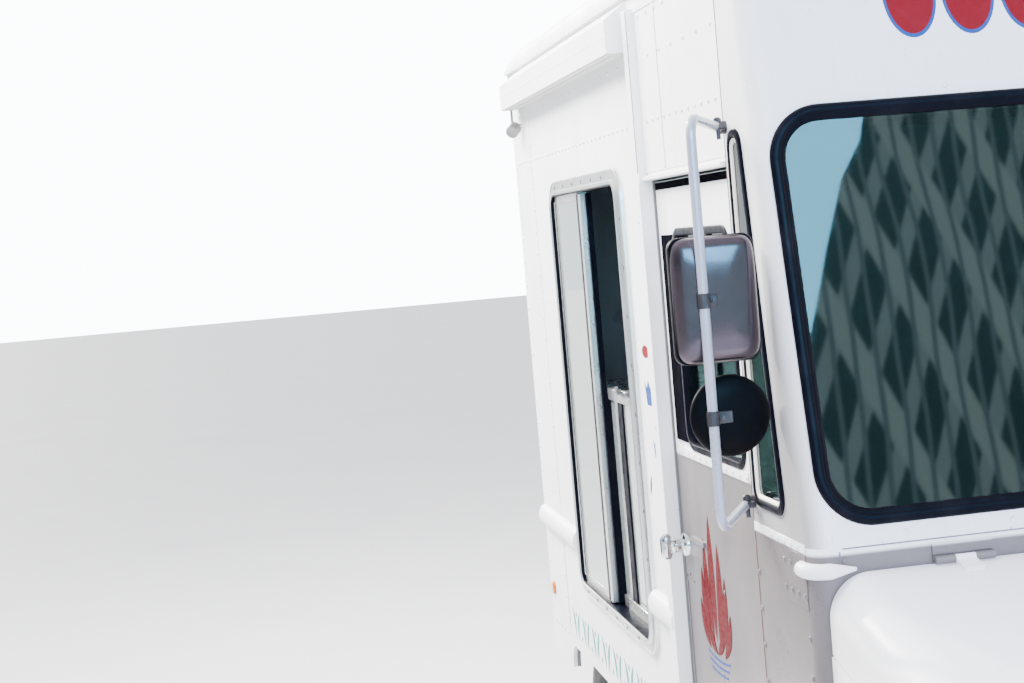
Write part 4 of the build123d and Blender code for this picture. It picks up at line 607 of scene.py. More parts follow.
FRONT_RIVETS = ((0.908, 2.605), (0.623, 2.481), (0.624, 2.419), (0.30, 2.605), (0.31, 2.481), (1.024, 1.488),
                (0.986, 1.488), (0.858, 1.488), (0.621, 1.488), (0.36, 1.488), (0.12, 1.488), (0.997, 1.442))
PATCH, BELT_LAP = 0.0018, 0.003
corner_laps, corner_seams, corner_ledges, corner_rivets, door_seams = [], [], [], [], []
for side in (-1, 1):
    door_seams += [slab(side, (0.9765, 0.9800), (SKIN, SKIN + 0.0011), (0.62, 1.452), 0.0004),
                   slab(side, (0.9765, 0.9790), (SKIN, SKIN + 0.0011), (1.478, 2.732), 0.0004)]
    corner_laps += [slab(side, (0.985, 1.344), (SKIN, SKIN + BELT_LAP), (1.456, 1.476), 0.001),
                    slab(side, (1.178, 1.342), (SKIN, SKIN + PATCH), (1.335, 1.452), 0.0006)]
    rivets = [row(np.arange(1.20, 1.34, 0.043), side * (SKIN + PATCH), z) for z in (1.364, 1.424)]
    rivets.append(row(np.arange(1.12, 1.34, 0.045), side * (SKIN + BELT_LAP), 1.466))
    rivets += [column(x, side * SKIN, np.arange(0.68, 1.44, 0.085)) for x in (0.992, 1.335)]
    corner_rivets.append(strewn(RIVET, np.concatenate(rivets), (0, side, 0), 1.05))
    corner_rivets += [strewn(RIVET, face_point(side * y, z, 0.0002), face_point(0, z, 1.0) - face_point(0, z), 1.05)
                      for y, z in FRONT_RIVETS]
    ledge = eased([(1.326, side * 1.072, 1.424), (1.391, side * 1.072, 1.424), (1.391, side * 0.975, 1.424)],
                  0.042, 10, False)
    corner_ledges.append(tube(ledge, 0.017, 16, [0.017] * (len(ledge) - 1) + [0.004]))
    # Dark strips in the corner and belt seams: painted shadow of the gaps.
    corner_seams.append(slab(side, (1.3852, 1.3860), (1.0050, 1.0080), (1.20, 1.462), 0.0003))
corner_seams.append(block((1.3852, -1.00, 1.4655), (1.3860, 1.00, 1.4685), 0.0003))
gap_shadow_filler = finish("gap_shadow_filler", (0.12, 0.11, 0.14), (0.25, 0.24, 0.25), 0.6, patch=20, amount=0.5)
piece("cab_corner_seams", *joined(*corner_seams), gap_shadow_filler, "body", "seal_black", smooth=False)
rusty_seam = finish("rusty_seam", (0.15, 0.060, 0.050), (0.22, 0.15, 0.135), 0.75, patch=35, amount=0.6)
piece("cab_corner_door_seams", *joined(*door_seams), rusty_seam, "body", "seal_black", smooth=False)
piece("cab_corner_ledges", *joined(*corner_ledges), enamel, "body", "white_paint")
piece("cab_corner_laps", *joined(*corner_laps), enamel_cowl, "body", "white_paint")
piece("cab_corner_rivets", *joined(*corner_rivets), enamel_cowl, "body", "white_paint")

# Glass: green-tinted safety glass in the windscreen, the quarter windows, the doors and the
# sliding sashes of the serving window, 6 mm thick and slightly uneven.
glass = Nodes("tinted_glass")
glass.set(colour=(0.15, 0.31, 0.30, 1), rough=0.015, clear=1.0, ior=1.5)
glass.set(normal=glass.relief(glass.noise(1.7, 2), 0.002, 0.3))
dress(glass.material, "door_glass_left", "door_glass_right")
screen_glass = Nodes("screen_glass")
screen_glass.set(colour=(0.16, 0.34, 0.34, 1), rough=0.02, clear=1.0, ior=1.52)
screen_glass.set(normal=screen_glass.relief(screen_glass.noise(1.3, 2, (1, 1, 0.25)), 0.003, 0.35))
SCREEN = [face_point(y, z) for y, z in ((-1.015, 1.516), (1.015, 1.516), (1.015, 2.397), (-1.015, 2.397))]
FACE_OUT = np.array((np.cos(RAKE), 0, np.sin(RAKE)))
PANE_FACES = (-0.0073, -0.0013)


def quarter_corners(side):
    """Corners of the quarter window on the side skin, its front edge along the rake."""
    return [(x, side * HALF, z) for x, z in ((1.017, 1.524), (1.2244, 1.524), (1.0955, 2.358), (1.017, 2.358))]


def plate(loop, out, start, end):
    """Flat plate with a closed outline, from one height to another along its normal."""
    loop, out = np.array(loop, float), np.array(out, float)
    count = len(loop)
    points = np.concatenate([loop + out * start, loop + out * end])
    ring = np.arange(count)
    after = np.roll(ring, -1)
    return points, [np.stack([ring, after, after + count, ring + count], 1), ring[None], ring[None] + count]


def grown(corners, amount):
    """Corner points of a flat outline moved apart evenly, by the offset of each pair of edges."""
    corners = np.array(corners, float)
    before, after = np.roll(corners, 1, 0), np.roll(corners, -1, 0)
    a, b = unit(corners - before), unit(corners - after)
    sine = np.linalg.norm(np.cross(a, b), axis=1, keepdims=True)
    return corners + (a + b) * amount / sine


screen_pane = plate(eased(grown(SCREEN, -0.0004), 0.105, 14), FACE_OUT, *PANE_FACES)
piece("body_panes", *screen_pane, screen_glass.material, "body", "pane", smooth=False)
quarter_glass = Nodes("quarter_glass")
quarter_glass.set(colour=(0.055, 0.14, 0.125, 1), rough=0.015, clear=1.0, ior=1.5)
quarter_panes = [plate(eased(grown(quarter_corners(side), -0.0103), 0.026, 8), (0, side, 0), *PANE_FACES)
                 for side in (-1, 1)]
piece("quarter_panes", *joined(*quarter_panes), quarter_glass.material, "body", "pane", smooth=False)

# Glazing rubber: one moulded strip a window, fat and round on the outside, with the locking
# bead pressed into its groove; the quarter windows have a cream metal bead inside it.
gasket_rubber = finish("gasket_rubber", (0.0015, 0.0015, 0.004), (0.012, 0.011, 0.016), 0.40, patch=12, amount=0.3,
                       specular=0.06)
cream_bead = finish("cream_bead", (0.70, 0.67, 0.58), (0.45, 0.40, 0.33), 0.35, coat=0.2, patch=14, amount=0.5)
SCREEN_SECTION = ((0.0135, -0.0005), (0.0142, 0.003), (0.0115, 0.0085), (0.006, 0.0125), (-0.001, 0.0138),
                  (-0.006, 0.0125), (-0.0085, 0.0095), (-0.0100, 0.0088), (-0.0120, 0.0086), (-0.0190, 0.0042),
                  (-0.0215, 0.0015), (-0.0215, -0.0012), (-0.009, -0.0012))
QUARTER_SECTION = ((0.008, 0.0), (0.0085, 0.003), (0.006, 0.0065), (0.0, 0.008), (-0.007, 0.0075), (-0.012, 0.004),
                   (-0.0125, -0.001), (-0.0115, -0.006), (-0.0003, -0.006), (-0.0003, 0.0))
BEAD_SECTION = ((-0.0112, -0.001), (-0.0115, 0.0035), (-0.014, 0.0055), (-0.0185, 0.004), (-0.0215, 0.0),
                (-0.021, -0.001))


def moulding(loop, out, section):
    """Moulded strip along a closed flat loop: P + across x outward normal in the plane + up x out."""
    loop, out = np.array(loop, float), unit(np.array(out, float))
    ahead = unit(np.roll(loop, -1, 0) - loop)
    tangents = unit(ahead + np.roll(ahead, 1, 0))
    across = np.cross(tangents, out)
    if np.sum(across * (loop - loop.mean(0))) < 0:
        across = -across
    section = np.array(section)
    points = loop[:, None] + section[None, :, :1] * across[:, None] + section[None, :, 1:] * out
    return points.reshape(-1, 3), [grid_faces(len(loop), len(section), True, True)]


SCREEN_LINE = [face_point(y, z, 0.0002)
               for y, z in ((-1.0265, 1.5215), (1.0265, 1.5215), (1.0265, 2.385), (-1.0265, 2.385))]
screen_strip = piece("windscreen_rubber", *moulding(eased(SCREEN_LINE, 0.108, 14), FACE_OUT, SCREEN_SECTION),
                     gasket_rubber, "body", "seal_black")
quarter_strips, quarter_beads = [[moulding(eased(quarter_corners(side), 0.036, 10), (0, side, 0), section)
                                  for side in (-1, 1)] for section in (QUARTER_SECTION, BEAD_SECTION)]
piece("quarter_window_rubber", *joined(*quarter_strips), gasket_rubber, "body", "seal_black")
piece("quarter_window_beads", *joined(*quarter_beads), cream_bead, "body", "bare_aluminium")
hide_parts("window_seals")

# Serving window: aluminium surround with a rolled lip and countersunk screws, and two sashes
# in black runs, one full height towards the rear and one half height in front of it.
bare_metal = finish("bare_metal", (0.66, 0.66, 0.64), (0.38, 0.36, 0.33), 0.30, 0.9, patch=7, amount=0.3, depth=0.00004)
screw_metal = finish("screw_metal", (0.30, 0.29, 0.28), (0.10, 0.08, 0.07), 0.4, 0.9, patch=30, amount=0.6)
dress(bare_metal, "serving_window")
OPENING = [(x, -HALF, z) for x, z in ((-1.21, 0.95), (-0.16, 0.95), (-0.16, 2.30), (-1.21, 2.30))]
SURROUND = ((-0.002, -0.020), (-0.0022, 0.0165), (0.0005, 0.0205), (0.0045, 0.0215), (0.0085, 0.0205), (0.0105, 0.0165),
            (0.0125, 0.0125), (0.034, 0.0105), (0.0365, 0.0125), (0.0405, 0.0125), (0.0445, 0.0105), (0.0465, 0.0002),
            (0.03, 0.0002), (0.002, -0.0002), (0.0005, -0.020))
serve_loop = eased(OPENING, 0.05, 10)
piece("serving_surround", *moulding(serve_loop, (0, -1, 0), SURROUND), bare_metal, "body", "bare_aluminium")
RUN = ((-0.0025, 0.0165), (-0.0025, -0.034), (-0.0065, -0.034), (-0.0065, 0.0155))
frames_black = [moulding(serve_loop, (0, -1, 0), RUN)]
SCREW = turned((0.0062, 0.006, 0.004, 0.0), (0.0, 0.0016, 0.0026, 0.003), 10)
screw_y = -HALF - 0.0112
screws = [row(np.arange(-1.13, -0.20, 0.155), screw_y, z) for z in (0.926, 2.3235)]
screws += [column(x, screw_y, np.arange(1.06, 2.25, 0.142)) for x in (-0.1365, -1.2335)]
piece("serving_screws", *strewn(SCREW, np.concatenate(screws), (0, -1, 0)), screw_metal, "body", "bare_aluminium")
frames_black += [block((-0.792, -1.0735, 0.962), (-0.756, -1.046, 2.288), 0.001),
                 block((-0.722, -1.058, 0.962), (-0.704, -1.028, 1.64), 0.001),
                 block((-0.722, -1.058, 1.64), (-0.710, -1.040, 2.288), 0.001),
                 block((-0.583, -1.0375, 0.985), (-0.520, -1.028, 1.635), 0.001),
                 block((-0.211, -1.0605, 0.962), (-0.168, -1.028, 2.288), 0.001),
                 block((-1.1975, -1.0745, 0.975), (-1.1915, -1.040, 2.275), 0.001),
                 block((-1.1790, -1.0735, 0.975), (-1.1755, -1.040, 2.275), 0.001)]
sash_bars = [block((-0.757, -1.0745, 0.962), (-0.726, -1.042, 2.288), 0.0015),
             block((-1.1915, -1.0745, 0.975), (-1.1790, -1.040, 2.275), 0.0015),
             block((-1.18, -1.0725, 2.268), (-0.78, -1.040, 2.296), 0.0015),
             block((-1.18, -1.0725, 0.955), (-0.78, -1.040, 0.986), 0.0015),
             block((-0.610, -1.0395, 0.985), (-0.581, -1.026, 1.635), 0.0015),
             block((-0.704, -1.040, 1.625), (-0.206, -1.020, 1.662), 0.002),
             block((-0.704, -1.040, 0.955), (-0.206, -1.020, 0.992), 0.002)]
piece("serving_runs", *joined(*frames_black), gasket_rubber, "body", "seal_black")
piece("serving_sash_bars", *joined(*sash_bars), bare_metal, "body", "bare_aluminium")
sash_glass = Nodes("sash_glass")
sash_glass.set(colour=(0.62, 0.70, 0.68, 1), rough=0.02, clear=0.75, ior=1.6)
sash_glass.set(normal=sash_glass.relief(sash_glass.noise(2.2, 2), 0.002, 0.4))
sash_panes = piece("serving_panes", *joined(block((-1.177, -1.0715, 0.975), (-0.780, -1.0665, 2.275), 0.0005),
                                            block((-0.716, -1.0315, 0.97), (-0.19, -1.0275, 1.64), 0.0005)),
                   sash_glass.material, "body", "pane", smooth=False)
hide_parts("body_glass")
latch = joined(block((-0.415, -1.060, 1.655), (-0.345, -1.030, 1.675), 0.004),
               tube([(-0.38, -1.058, 1.668), (-0.38, -1.078, 1.672), (-0.36, -1.084, 1.690)], 0.006, 10),
               block((-0.235, -1.058, 1.658), (-0.175, -1.026, 1.682), 0.004))
piece("serving_latch", *latch, screw_metal, "body", "bare_aluminium")

# Awning box: folded aluminium case under the gutter with end caps, a lead rail and the rolled
# cloth's edge showing in its mouth, and a lamp on a bracket below its rear end.
AWNING_X = (-1.815, 0.105)
awning_grey = finish("awning_grey", (0.60, 0.62, 0.56), (0.40, 0.42, 0.36), 0.45, patch=5, amount=0.6,
                     stretch=(0.2, 1, 1))
awning_parts = []
for x, end in ((AWNING_X[0], 1), (AWNING_X[1], -1)):
    profile = [(x, -HALF - 0.0015, 2.648), (x, -1.130, 2.648), (x, -1.130, 2.734), (x, -HALF - 0.0015, 2.779)]
    awning_parts.append(plate(eased(profile, 0.008, 4), (end, 0, 0), -0.0005, 0.004))
awning_parts.append(block((-1.80, -1.1325, 2.690), (0.09, -1.1305, 2.697), 0.0006))
piece("awning_end_caps", *joined(*awning_parts), enamel, "body", "white_paint", smooth=False)
mouth = [tube([(-1.79, -1.100, 2.6445), (0.08, -1.100, 2.6445)], 0.0055, 12),
         block((-1.80, -1.128, 2.6425), (0.09, -1.112, 2.6448), 0.0008),
         block((-1.80, -1.092, 2.6425), (0.09, -1.072, 2.6448), 0.0008)]
piece("awning_lead_rail", *joined(*mouth), awning_grey, "body", "bare_aluminium")
lamp_arm = [block((-1.775, -1.105, 2.585), (-1.745, -1.100, 2.643), 0.001),
            block((-1.775, -1.105, 2.583), (-1.745, -1.070, 2.588), 0.001),
            tube([(-1.76, -1.092, 2.575), (-1.73, -1.112, 2.557)], 0.024, 16)]
piece("awning_lamp", *joined(*lamp_arm), screw_metal, "body", "bare_aluminium")

# Cab doors: a riveted repair strip under the window, rubber and felt glass runs, a chromed
# T-handle on a round rose, and over the door a folded rain rail between its posts.
DOOR_FACE = 1.047
chrome = finish("chrome", (0.78, 0.78, 0.80), (0.42, 0.40, 0.40), 0.10, 1.0, patch=26, amount=0.35, grain=500,
                depth=0.00005)
DOOR_WINDOW = ((0.345, 1.58), (0.880, 1.58), (0.880, 2.15), (0.345, 2.15))
DOOR_RUN = ((0.006, 0.0), (0.0065, 0.003), (0.002, 0.0055), (-0.010, 0.0055), (-0.013, 0.002), (-0.014, -0.0135),
            (-0.0005, -0.0135), (-0.0005, 0.0))
felt = finish("channel_felt", (0.004, 0.004, 0.006), (0.010, 0.009, 0.010), 0.95, patch=25, amount=0.4, depth=0.0004,
              specular=0.0)
ROSE = turned((0.0335, 0.0335, 0.031, 0.024, 0.0175, 0.0165, 0.0165, 0.020, 0.0195, 0.0165, 0.0155, 0.0155, 0.0),
              (0.0003, 0.009, 0.0145, 0.0165, 0.019, 0.024, 0.034, 0.0375, 0.043, 0.046, 0.052, 0.0715, 0.0715), 28)
SCREW_HOLE = turned((0.0042, 0.004, 0.0), (0.0, 0.0004, 0.0005), 10)
HANDLE_X, HANDLE_Z = 0.252, 1.305
STRIP_FACES = (DOOR_FACE + 0.0002, DOOR_FACE + 0.0026)
DOOR_STRIPS = (((0.25, 0.89), (1.548, 1.5735)), ((0.205, 0.955), (0.60, 0.655)), ((0.202, 0.212), (0.70, 1.20)))
for hand, side in (("left", 1), ("right", -1)):
    body = "cab_door_" + hand
    out = (0, side, 0)
    run = moulding(eased([(x, side * DOOR_FACE, z) for x, z in DOOR_WINDOW], 0.055, 10), out, DOOR_RUN)
    slide = slab(side, (0.604, 0.626), (DOOR_FACE - 0.0105, DOOR_FACE), (1.592, 2.138), 0.001)
    piece("door_glass_run_" + hand, *joined(run, slide), gasket_rubber, body, "seal_black")
    channel = slab(side, (0.228, 0.343), (DOOR_FACE, DOOR_FACE + 0.0035), (1.590, 2.140), 0.001)
    # Black felt strip along the door's top: painted shadow under the rain rail.
    top_shadow_strip = slab(side, (0.202, 0.963), (DOOR_FACE, DOOR_FACE + 0.0018), (2.261, 2.2805), 0.0006)
    piece("door_glass_felt_" + hand, *joined(channel, top_shadow_strip), felt, body, "seal_black", smooth=False)
    flats = [slab(side, xs, STRIP_FACES, zs, 0.0008) for xs, zs in DOOR_STRIPS]
    piece("door_strips_" + hand, *joined(*flats), enamel_warm_shaded, body, "white_paint", smooth=False)
    face, outer = (side * y for y in STRIP_FACES)
    rivets = [row(np.arange(0.275, 0.89, 0.061), outer, 1.561), row(np.arange(0.235, 0.95, 0.0705), outer, 0.628),
              column(0.935, face, np.arange(0.72, 1.50, 0.078)), column(0.59, face, (1.49, 1.235))]
    piece("door_rivets_" + hand, *strewn(RIVET, np.concatenate(rivets), out, 0.9), enamel_warm_shaded, body, "white_paint")
    holes = [(0.211, face, 1.214), (0.279, face, 1.207), (0.243, face, 1.221)]
    piece("door_screw_holes_" + hand, *strewn(SCREW_HOLE, holes, out), gasket_rubber, body, "seal_black")
    rose = strewn(ROSE, (HANDLE_X, side * DOOR_FACE, HANDLE_Z), out)
    grip_z = np.linspace(-0.036, 0.036, 15)
    grip = tube(column(HANDLE_X, side * (DOOR_FACE + 0.0632), HANDLE_Z + grip_z), 0.01, 16,
                0.0165 * np.sqrt(np.clip(1 - (grip_z / 0.0368) ** 4, 0.02, 1)))
    piece("door_handle_" + hand, *joined(rose, grip), chrome, body, "bare_aluminium")
POST_FACE = HALF + 0.0222
POST_SEAM = (POST_FACE, HALF + 0.0232)
rain_rails, post_trims, post_seams = [], [], []
for side in (-1, 1):
    rain_rails += [slab(side, (0.150, 0.972), (HALF - 0.032, SKIN + 0.013), (2.2885, 2.3005), 0.002),
                   slab(side, (0.197, 0.972), (HALF - 0.032, HALF - 0.001), (2.2995, 2.3095), 0.0006)]
    rivets = column(0.150, side * POST_FACE, (0.60, 0.66, 0.98, 1.62, 2.18, 2.66))
    post_trims += [strewn(RIVET, rivets, (0, side, 0), 0.8),
                   slab(side, (0.1835, 0.1885), POST_SEAM, (0.56, 2.285), 0.0004)]
    # Dark strip up the post's forward flank above the doorway: painted shade in the crease against the panel.
    post_seams.append(slab(side, (0.1815, 0.1885), POST_SEAM, (2.312, 2.745), 0.0004))
piece("door_rain_rails", *joined(*rain_rails), enamel, "body", "white_paint", smooth=False)
piece("post_trims", *joined(*post_trims), enamel, "body", "white_paint", smooth=False)
piece("post_seams", *joined(*post_seams), gap_shadow_filler, "body", "seal_black", smooth=False)

# Mirrors: one bent painted tube a side in dark iron clamps, with a pressed steel head, a
# round wide-angle head in black under it, and rubber rims round the silvered glass.
tube_paint = finish("tube_paint", (0.30, 0.32, 0.375), (0.26, 0.26, 0.30), 0.30, 0.25, coat=0.2, patch=8, amount=0.2,
                    depth=0.00003)
head_metal = finish("head_metal", (0.082, 0.066, 0.078), (0.045, 0.038, 0.046), 0.20, 0.92, patch=8, amount=0.5,
                    depth=0.0001)
head_black = finish("head_black", (0.0008, 0.0008, 0.0015), (0.003, 0.003, 0.004), 0.55, patch=11, amount=0.4,
                    specular=0.05)
rim_black = finish("mirror_rim_rubber", (0.0015, 0.0012, 0.003), (0.010, 0.010, 0.011), 0.5, patch=18, amount=0.3,
                   specular=0.12)
mirror_glass = finish("mirror_glass", (0.80, 0.82, 0.84), (0.62, 0.63, 0.64), 0.04, 1.0, patch=4, amount=0.2,
                      depth=0.00002)
clamp_iron = finish("clamp_iron", (0.030, 0.026, 0.029), (0.085, 0.07, 0.065), 0.45, 0.5, patch=45, amount=0.6)


def pillow(centre, rings, power, steps=72):
    """Closed form of rounded rings across X: ring at depth x has y = b |cos t|^(2/n), z = c |sin t|^(2/n)."""
    angle = np.arange(steps) * 2 * np.pi / steps
    cosine, sine = np.cos(angle), np.sin(angle)
    y = np.sign(cosine) * np.abs(cosine) ** (2 / power)
    z = np.sign(sine) * np.abs(sine) ** (2 / power)
    points = np.stack([np.stack([np.full(steps, depth), b * y, c * z], -1) for depth, b, c in rings])
    points = points + np.array(centre)
    ring = np.arange(steps)[None]
    return points.reshape(-1, 3), [grid_faces(len(rings), steps, wrap_cols=True), ring, ring + (len(rings) - 1) * steps]


# Rings of the two heads and their glass: depth, half width, half height.
HEAD_Y, HEAD_Z = 1.180, 2.0
HEAD_RINGS = ((1.1835, 0.088, 0.130), (1.1835, 0.0925, 0.135), (1.190, 0.0935, 0.136), (1.200, 0.0935, 0.136),
              (1.211, 0.092, 0.1345), (1.222, 0.084, 0.1265), (1.230, 0.068, 0.108), (1.2345, 0.044, 0.078),
              (1.2362, 0.020, 0.038))
HEAD_GLASS = ((1.1815, 0.086, 0.128), (1.1822, 0.0875, 0.1295), (1.1842, 0.0875, 0.1295))
HEAD_RIM = ((0.0004, 0.002), (0.0004, 0.017), (-0.0015, 0.020), (-0.006, 0.018), (-0.007, 0.002), (-0.005, -0.0005),
            (-0.0015, -0.0005))
ROUND_Y, ROUND_Z = 1.168, 1.749
ROUND_RINGS = [(depth, r, r) for depth, r in (
    (1.2025, 0.080), (1.2025, 0.0865), (1.206, 0.0885), (1.211, 0.0885), (1.218, 0.0855), (1.226, 0.074),
    (1.232, 0.054), (1.2352, 0.030), (1.2362, 0.012))]
ROUND_GLASS = [(1.2025 - 0.006 * (1 - share ** 2), 0.0815 * share, 0.0815 * share)
               for share in (0.05, 0.3, 0.55, 0.8, 1.0)] + [(1.2035, 0.0815, 0.0815)]
CLAMP_ROSE = turned((0.015, 0.015, 0.013, 0.0), (0.0002, 0.012, 0.015, 0.0155), 20)
CLAMP_NUT = turned((0.008, 0.0095, 0.009, 0.005, 0.0), (0.0, 0.004, 0.012, 0.016, 0.0165), 14)
HEAD_NUT = turned((0.0085, 0.0085, 0.006, 0.006, 0.0), (0.0, 0.006, 0.007, 0.013, 0.0135), 6)
TUBE_X, TUBE_Y = 1.244, 1.215
mirror_tubes, heads, rounds, rims, glasses, clamps = [], [], [], [], [], []
for side in (-1, 1):
    path = eased([(0.992, side * 1.082, 2.375), (TUBE_X, side * TUBE_Y, 2.389), (TUBE_X, side * TUBE_Y, 1.508),
                  (0.992, side * 1.082, 1.522)], 0.045, 8, False)
    mirror_tubes.append(tube(path, 0.011, 16))
    for z in (2.375, 1.522):
        y = side * 1.088
        clamps += [strewn(CLAMP_ROSE, (0.992, side * HALF, z), (0, side, 0)),
                   block((1.000, y - 0.012, z - 0.006), (1.040, y + 0.012, z + 0.006), 0.003),
                   strewn(CLAMP_NUT, (1.018, side * 1.092, z + 0.006), (0, 0, 1)),
                   tube([(1.030, side * 1.095, z), (1.035, side * 1.096, z - 0.028)], 0.005, 10)]
    head_rim = [(1.183, side * HEAD_Y + a * 0.0945, HEAD_Z + b * 0.137)
                for a, b in ((-1, -1), (1, -1), (1, 1), (-1, 1))]
    heads.append(pillow((0, side * HEAD_Y, HEAD_Z), HEAD_RINGS, 7))
    rims.append(moulding(eased(head_rim, 0.026, 8), (1, 0, 0), HEAD_RIM))
    rounds.append(pillow((0, side * ROUND_Y, ROUND_Z), ROUND_RINGS, 2))
    glasses += [pillow((0, side * HEAD_Y, HEAD_Z), HEAD_GLASS, 7),
                pillow((0, side * ROUND_Y, ROUND_Z), ROUND_GLASS, 2, 48)]
    for z, width in ((HEAD_Z, 0.030), (ROUND_Z, 0.058)):
        y = side * 1.1985
        clamps += [block((1.2335, y - 0.5 * width, z - 0.013), (1.2395, y + 0.5 * width, z + 0.013), 0.002),
                   tube([(TUBE_X, side * TUBE_Y, z - 0.016), (TUBE_X, side * TUBE_Y, z + 0.016)], 0.0135, 16),
                   strewn(HEAD_NUT, (1.2395, side * 1.193, z), (1, 0, 0))]
mirror_bar = piece("mirror_tubes", *joined(*mirror_tubes), tube_paint, "body", "mirror_metal")
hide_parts("mirrors")
piece("mirror_heads", *joined(*heads), head_metal, "body", "mirror_metal")
piece("mirror_round_heads", *joined(*rounds), head_black, "body", "mirror_metal")
piece("mirror_rims", *joined(*rims), rim_black, "body", "seal_black")
piece("mirror_faces", *joined(*glasses), mirror_glass, "body", "mirror_metal")
piece("mirror_clamps", *joined(*clamps), clamp_iron, "body", "mirror_metal", smooth=False)

# Nose: grille bars and bumpers in aluminium, ribbed glass lamps in chromed rims screwed to the
# sheet, and two wipers on spindles under the windscreen.
bar_metal = finish("bar_metal", (0.58, 0.58, 0.58), (0.34, 0.32, 0.30), 0.28, 0.95, patch=6, amount=0.5)
dress(bar_metal, "grille", "front_bumper")
step_metal = finish("step_metal", (0.30, 0.30, 0.30), (0.16, 0.13, 0.11), 0.5, 0.8, patch=5, amount=0.7, depth=0.0004)
dress(step_metal, "rear_bumper")
lamp_face = Nodes("lamp_face")
lamp_x, lamp_z = lamp_face.axis("X"), lamp_face.axis("Z")
rear_mask = lamp_face.ramp(lamp_x, -0.1, 0.1, 1.0, 0.0)
small_mask = lamp_face.math("MULTIPLY", lamp_face.ramp(lamp_z, 0.78, 0.79, 1.0, 0.0),
                            lamp_face.ramp(lamp_x, -0.1, 0.1, 0.0, 1.0))
lamp_tone = lamp_face.blend(lamp_face.ramp(lamp_face.noise(25, 3), 0.4, 0.7), (0.26, 0.28, 0.31), (0.15, 0.17, 0.19))
lamp_tone = lamp_face.blend(rear_mask, lamp_tone, (0.22, 0.003, 0.003))
lamp_tone = lamp_face.blend(small_mask, lamp_tone, (0.42, 0.09, 0.004))
ribs = node_in(lamp_face.tree, "ShaderNodeTexWave", {"Vector": lamp_face.coordinates, "Scale": 28}, bands_direction="Y")
lamp_face.set(colour=lamp_tone, rough=0.10, clear=0.25, ior=1.5, coat=0.5,
              normal=lamp_face.relief(ribs.outputs["Fac"], 0.0015, 0.6))
dress(lamp_face.material, "lamps")
# Lamps: x, distance from the middle, z, radius, the way they face.
LAMPS = ((2.105, 0.77, 0.9, 0.088, 1), (2.105, 0.77, 0.735, 0.038, 1), (-2.005, 0.93, 0.66, 0.048, -1),
         (-2.005, 0.80, 0.66, 0.048, -1))
LAMP_RIM = ((0.009, 0.0002), (0.010, 0.004), (0.005, 0.010), (-0.004, 0.0135), (-0.012, 0.0135), (-0.0125, 0.0125),
            (0.0002, 0.0085), (0.0002, 0.0002))
around = np.arange(64) * np.pi / 32
lamp_rims = []
for x, y, z, radius, facing in LAMPS:
    for side in (-1, 1):
        loop = [(x, side * y + (radius + 0.0125) * np.cos(t), z + (radius + 0.0125) * np.sin(t)) for t in around]
        lamp_rims.append(moulding(loop, (facing, 0, 0), LAMP_RIM))
piece("lamp_rims", *joined(*lamp_rims), chrome, "body", "bright_bar")
wipers = []
for y in (0.12, 0.80):
    foot = face_point(y, 1.492, 0.004)
    knee = face_point(y - 0.10, 1.530, 0.030)
    tip = face_point(y - 0.34, 1.575, 0.024)
    wipers.append(tube([foot - FACE_OUT * 0.004, foot + FACE_OUT * 0.022], 0.013, 14))
    wipers.append(tube([foot + FACE_OUT * 0.018, knee, tip], 0.0045, 8))
    wipers.append(tube([face_point(y - 0.60, 1.600, 0.013), face_point(y - 0.10, 1.558, 0.013)], 0.0055, 8))
piece("windscreen_wipers", *joined(*wipers), head_black, "body", "seal_black")

# Rear doors: sheet steel leaves with riveted borders, a lock rod, a pull handle and edge
# seals, black stops round the frame behind them and grip strips screwed to the step.
BACK_FACE = -2.0052
HINGE_Z = (0.89, 1.64, 2.39)
PULL_Y = 0.09
for hand, side in (("left", 1), ("right", -1)):
    body = "rear_door_" + hand
    flats = [slab(side, (BACK_FACE - 0.0022, BACK_FACE), (0.03, 0.965), zs, 0.0008)
             for zs in ((0.800, 0.814), (2.462, 2.476))]
    piece("rear_door_strips_" + hand, *joined(*flats), enamel, body, "white_paint", smooth=False)
    rivets = [(BACK_FACE, side * y, z) for y in np.arange(0.05, 0.96, 0.065) for z in (1.628, 2.440)]
    rivets += [(BACK_FACE, side * y, z) for y in (0.028, 0.955) for z in np.arange(0.86, 2.43, 0.075)]
    rivets = np.array(rivets)
    out_y, up = np.abs(rivets[:, 1]), rivets[:, 2]
    at_hinge = (out_y > 0.9) & (np.abs(up[:, None] - HINGE_Z).min(axis=1) < 0.08)
    at_pull = (np.abs(out_y - PULL_Y) < 0.03) & (np.abs(up - 1.22) < 0.12) & (side > 0)
    piece("rear_door_rivets_" + hand, *strewn(RIVET, rivets[~(at_hinge | at_pull)], (-1, 0, 0), 0.9), enamel, body,
          "white_paint")
    seal = tube([(-1.989, side * 0.0055, 0.80), (-1.989, side * 0.0055, 2.475)], 0.0018, 8)
    piece("rear_door_seal_" + hand, *seal, rim_black, body, "seal_black")
rod = [tube([(-2.018, -0.085, 0.80), (-2.018, -0.085, 2.47)], 0.008, 12)]
rod += [block((-2.0285, -0.105, z - 0.014), (-2.0054, -0.065, z + 0.014), 0.003)
        for z in (0.84, 1.22, 1.62, 2.05, 2.43)]
rod += [block((-2.034, -0.20, 1.30), (-2.026, -0.075, 1.325), 0.003),
        tube([(-2.0055, -0.19, 1.3125), (-2.030, -0.19, 1.3125)], 0.007, 12)]
piece("rear_lock_rod", *joined(*rod), screw_metal, "rear_door_right", "bright_bar")
pull_line = [(-2.046, PULL_Y, 1.135), (-2.052, PULL_Y, 1.135), (-2.052, PULL_Y, 1.255), (-2.046, PULL_Y, 1.255)]
PULL_ROSE = turned((0.030, 0.030, 0.026, 0.0), (0.0, 0.010, 0.014, 0.0145), 28)
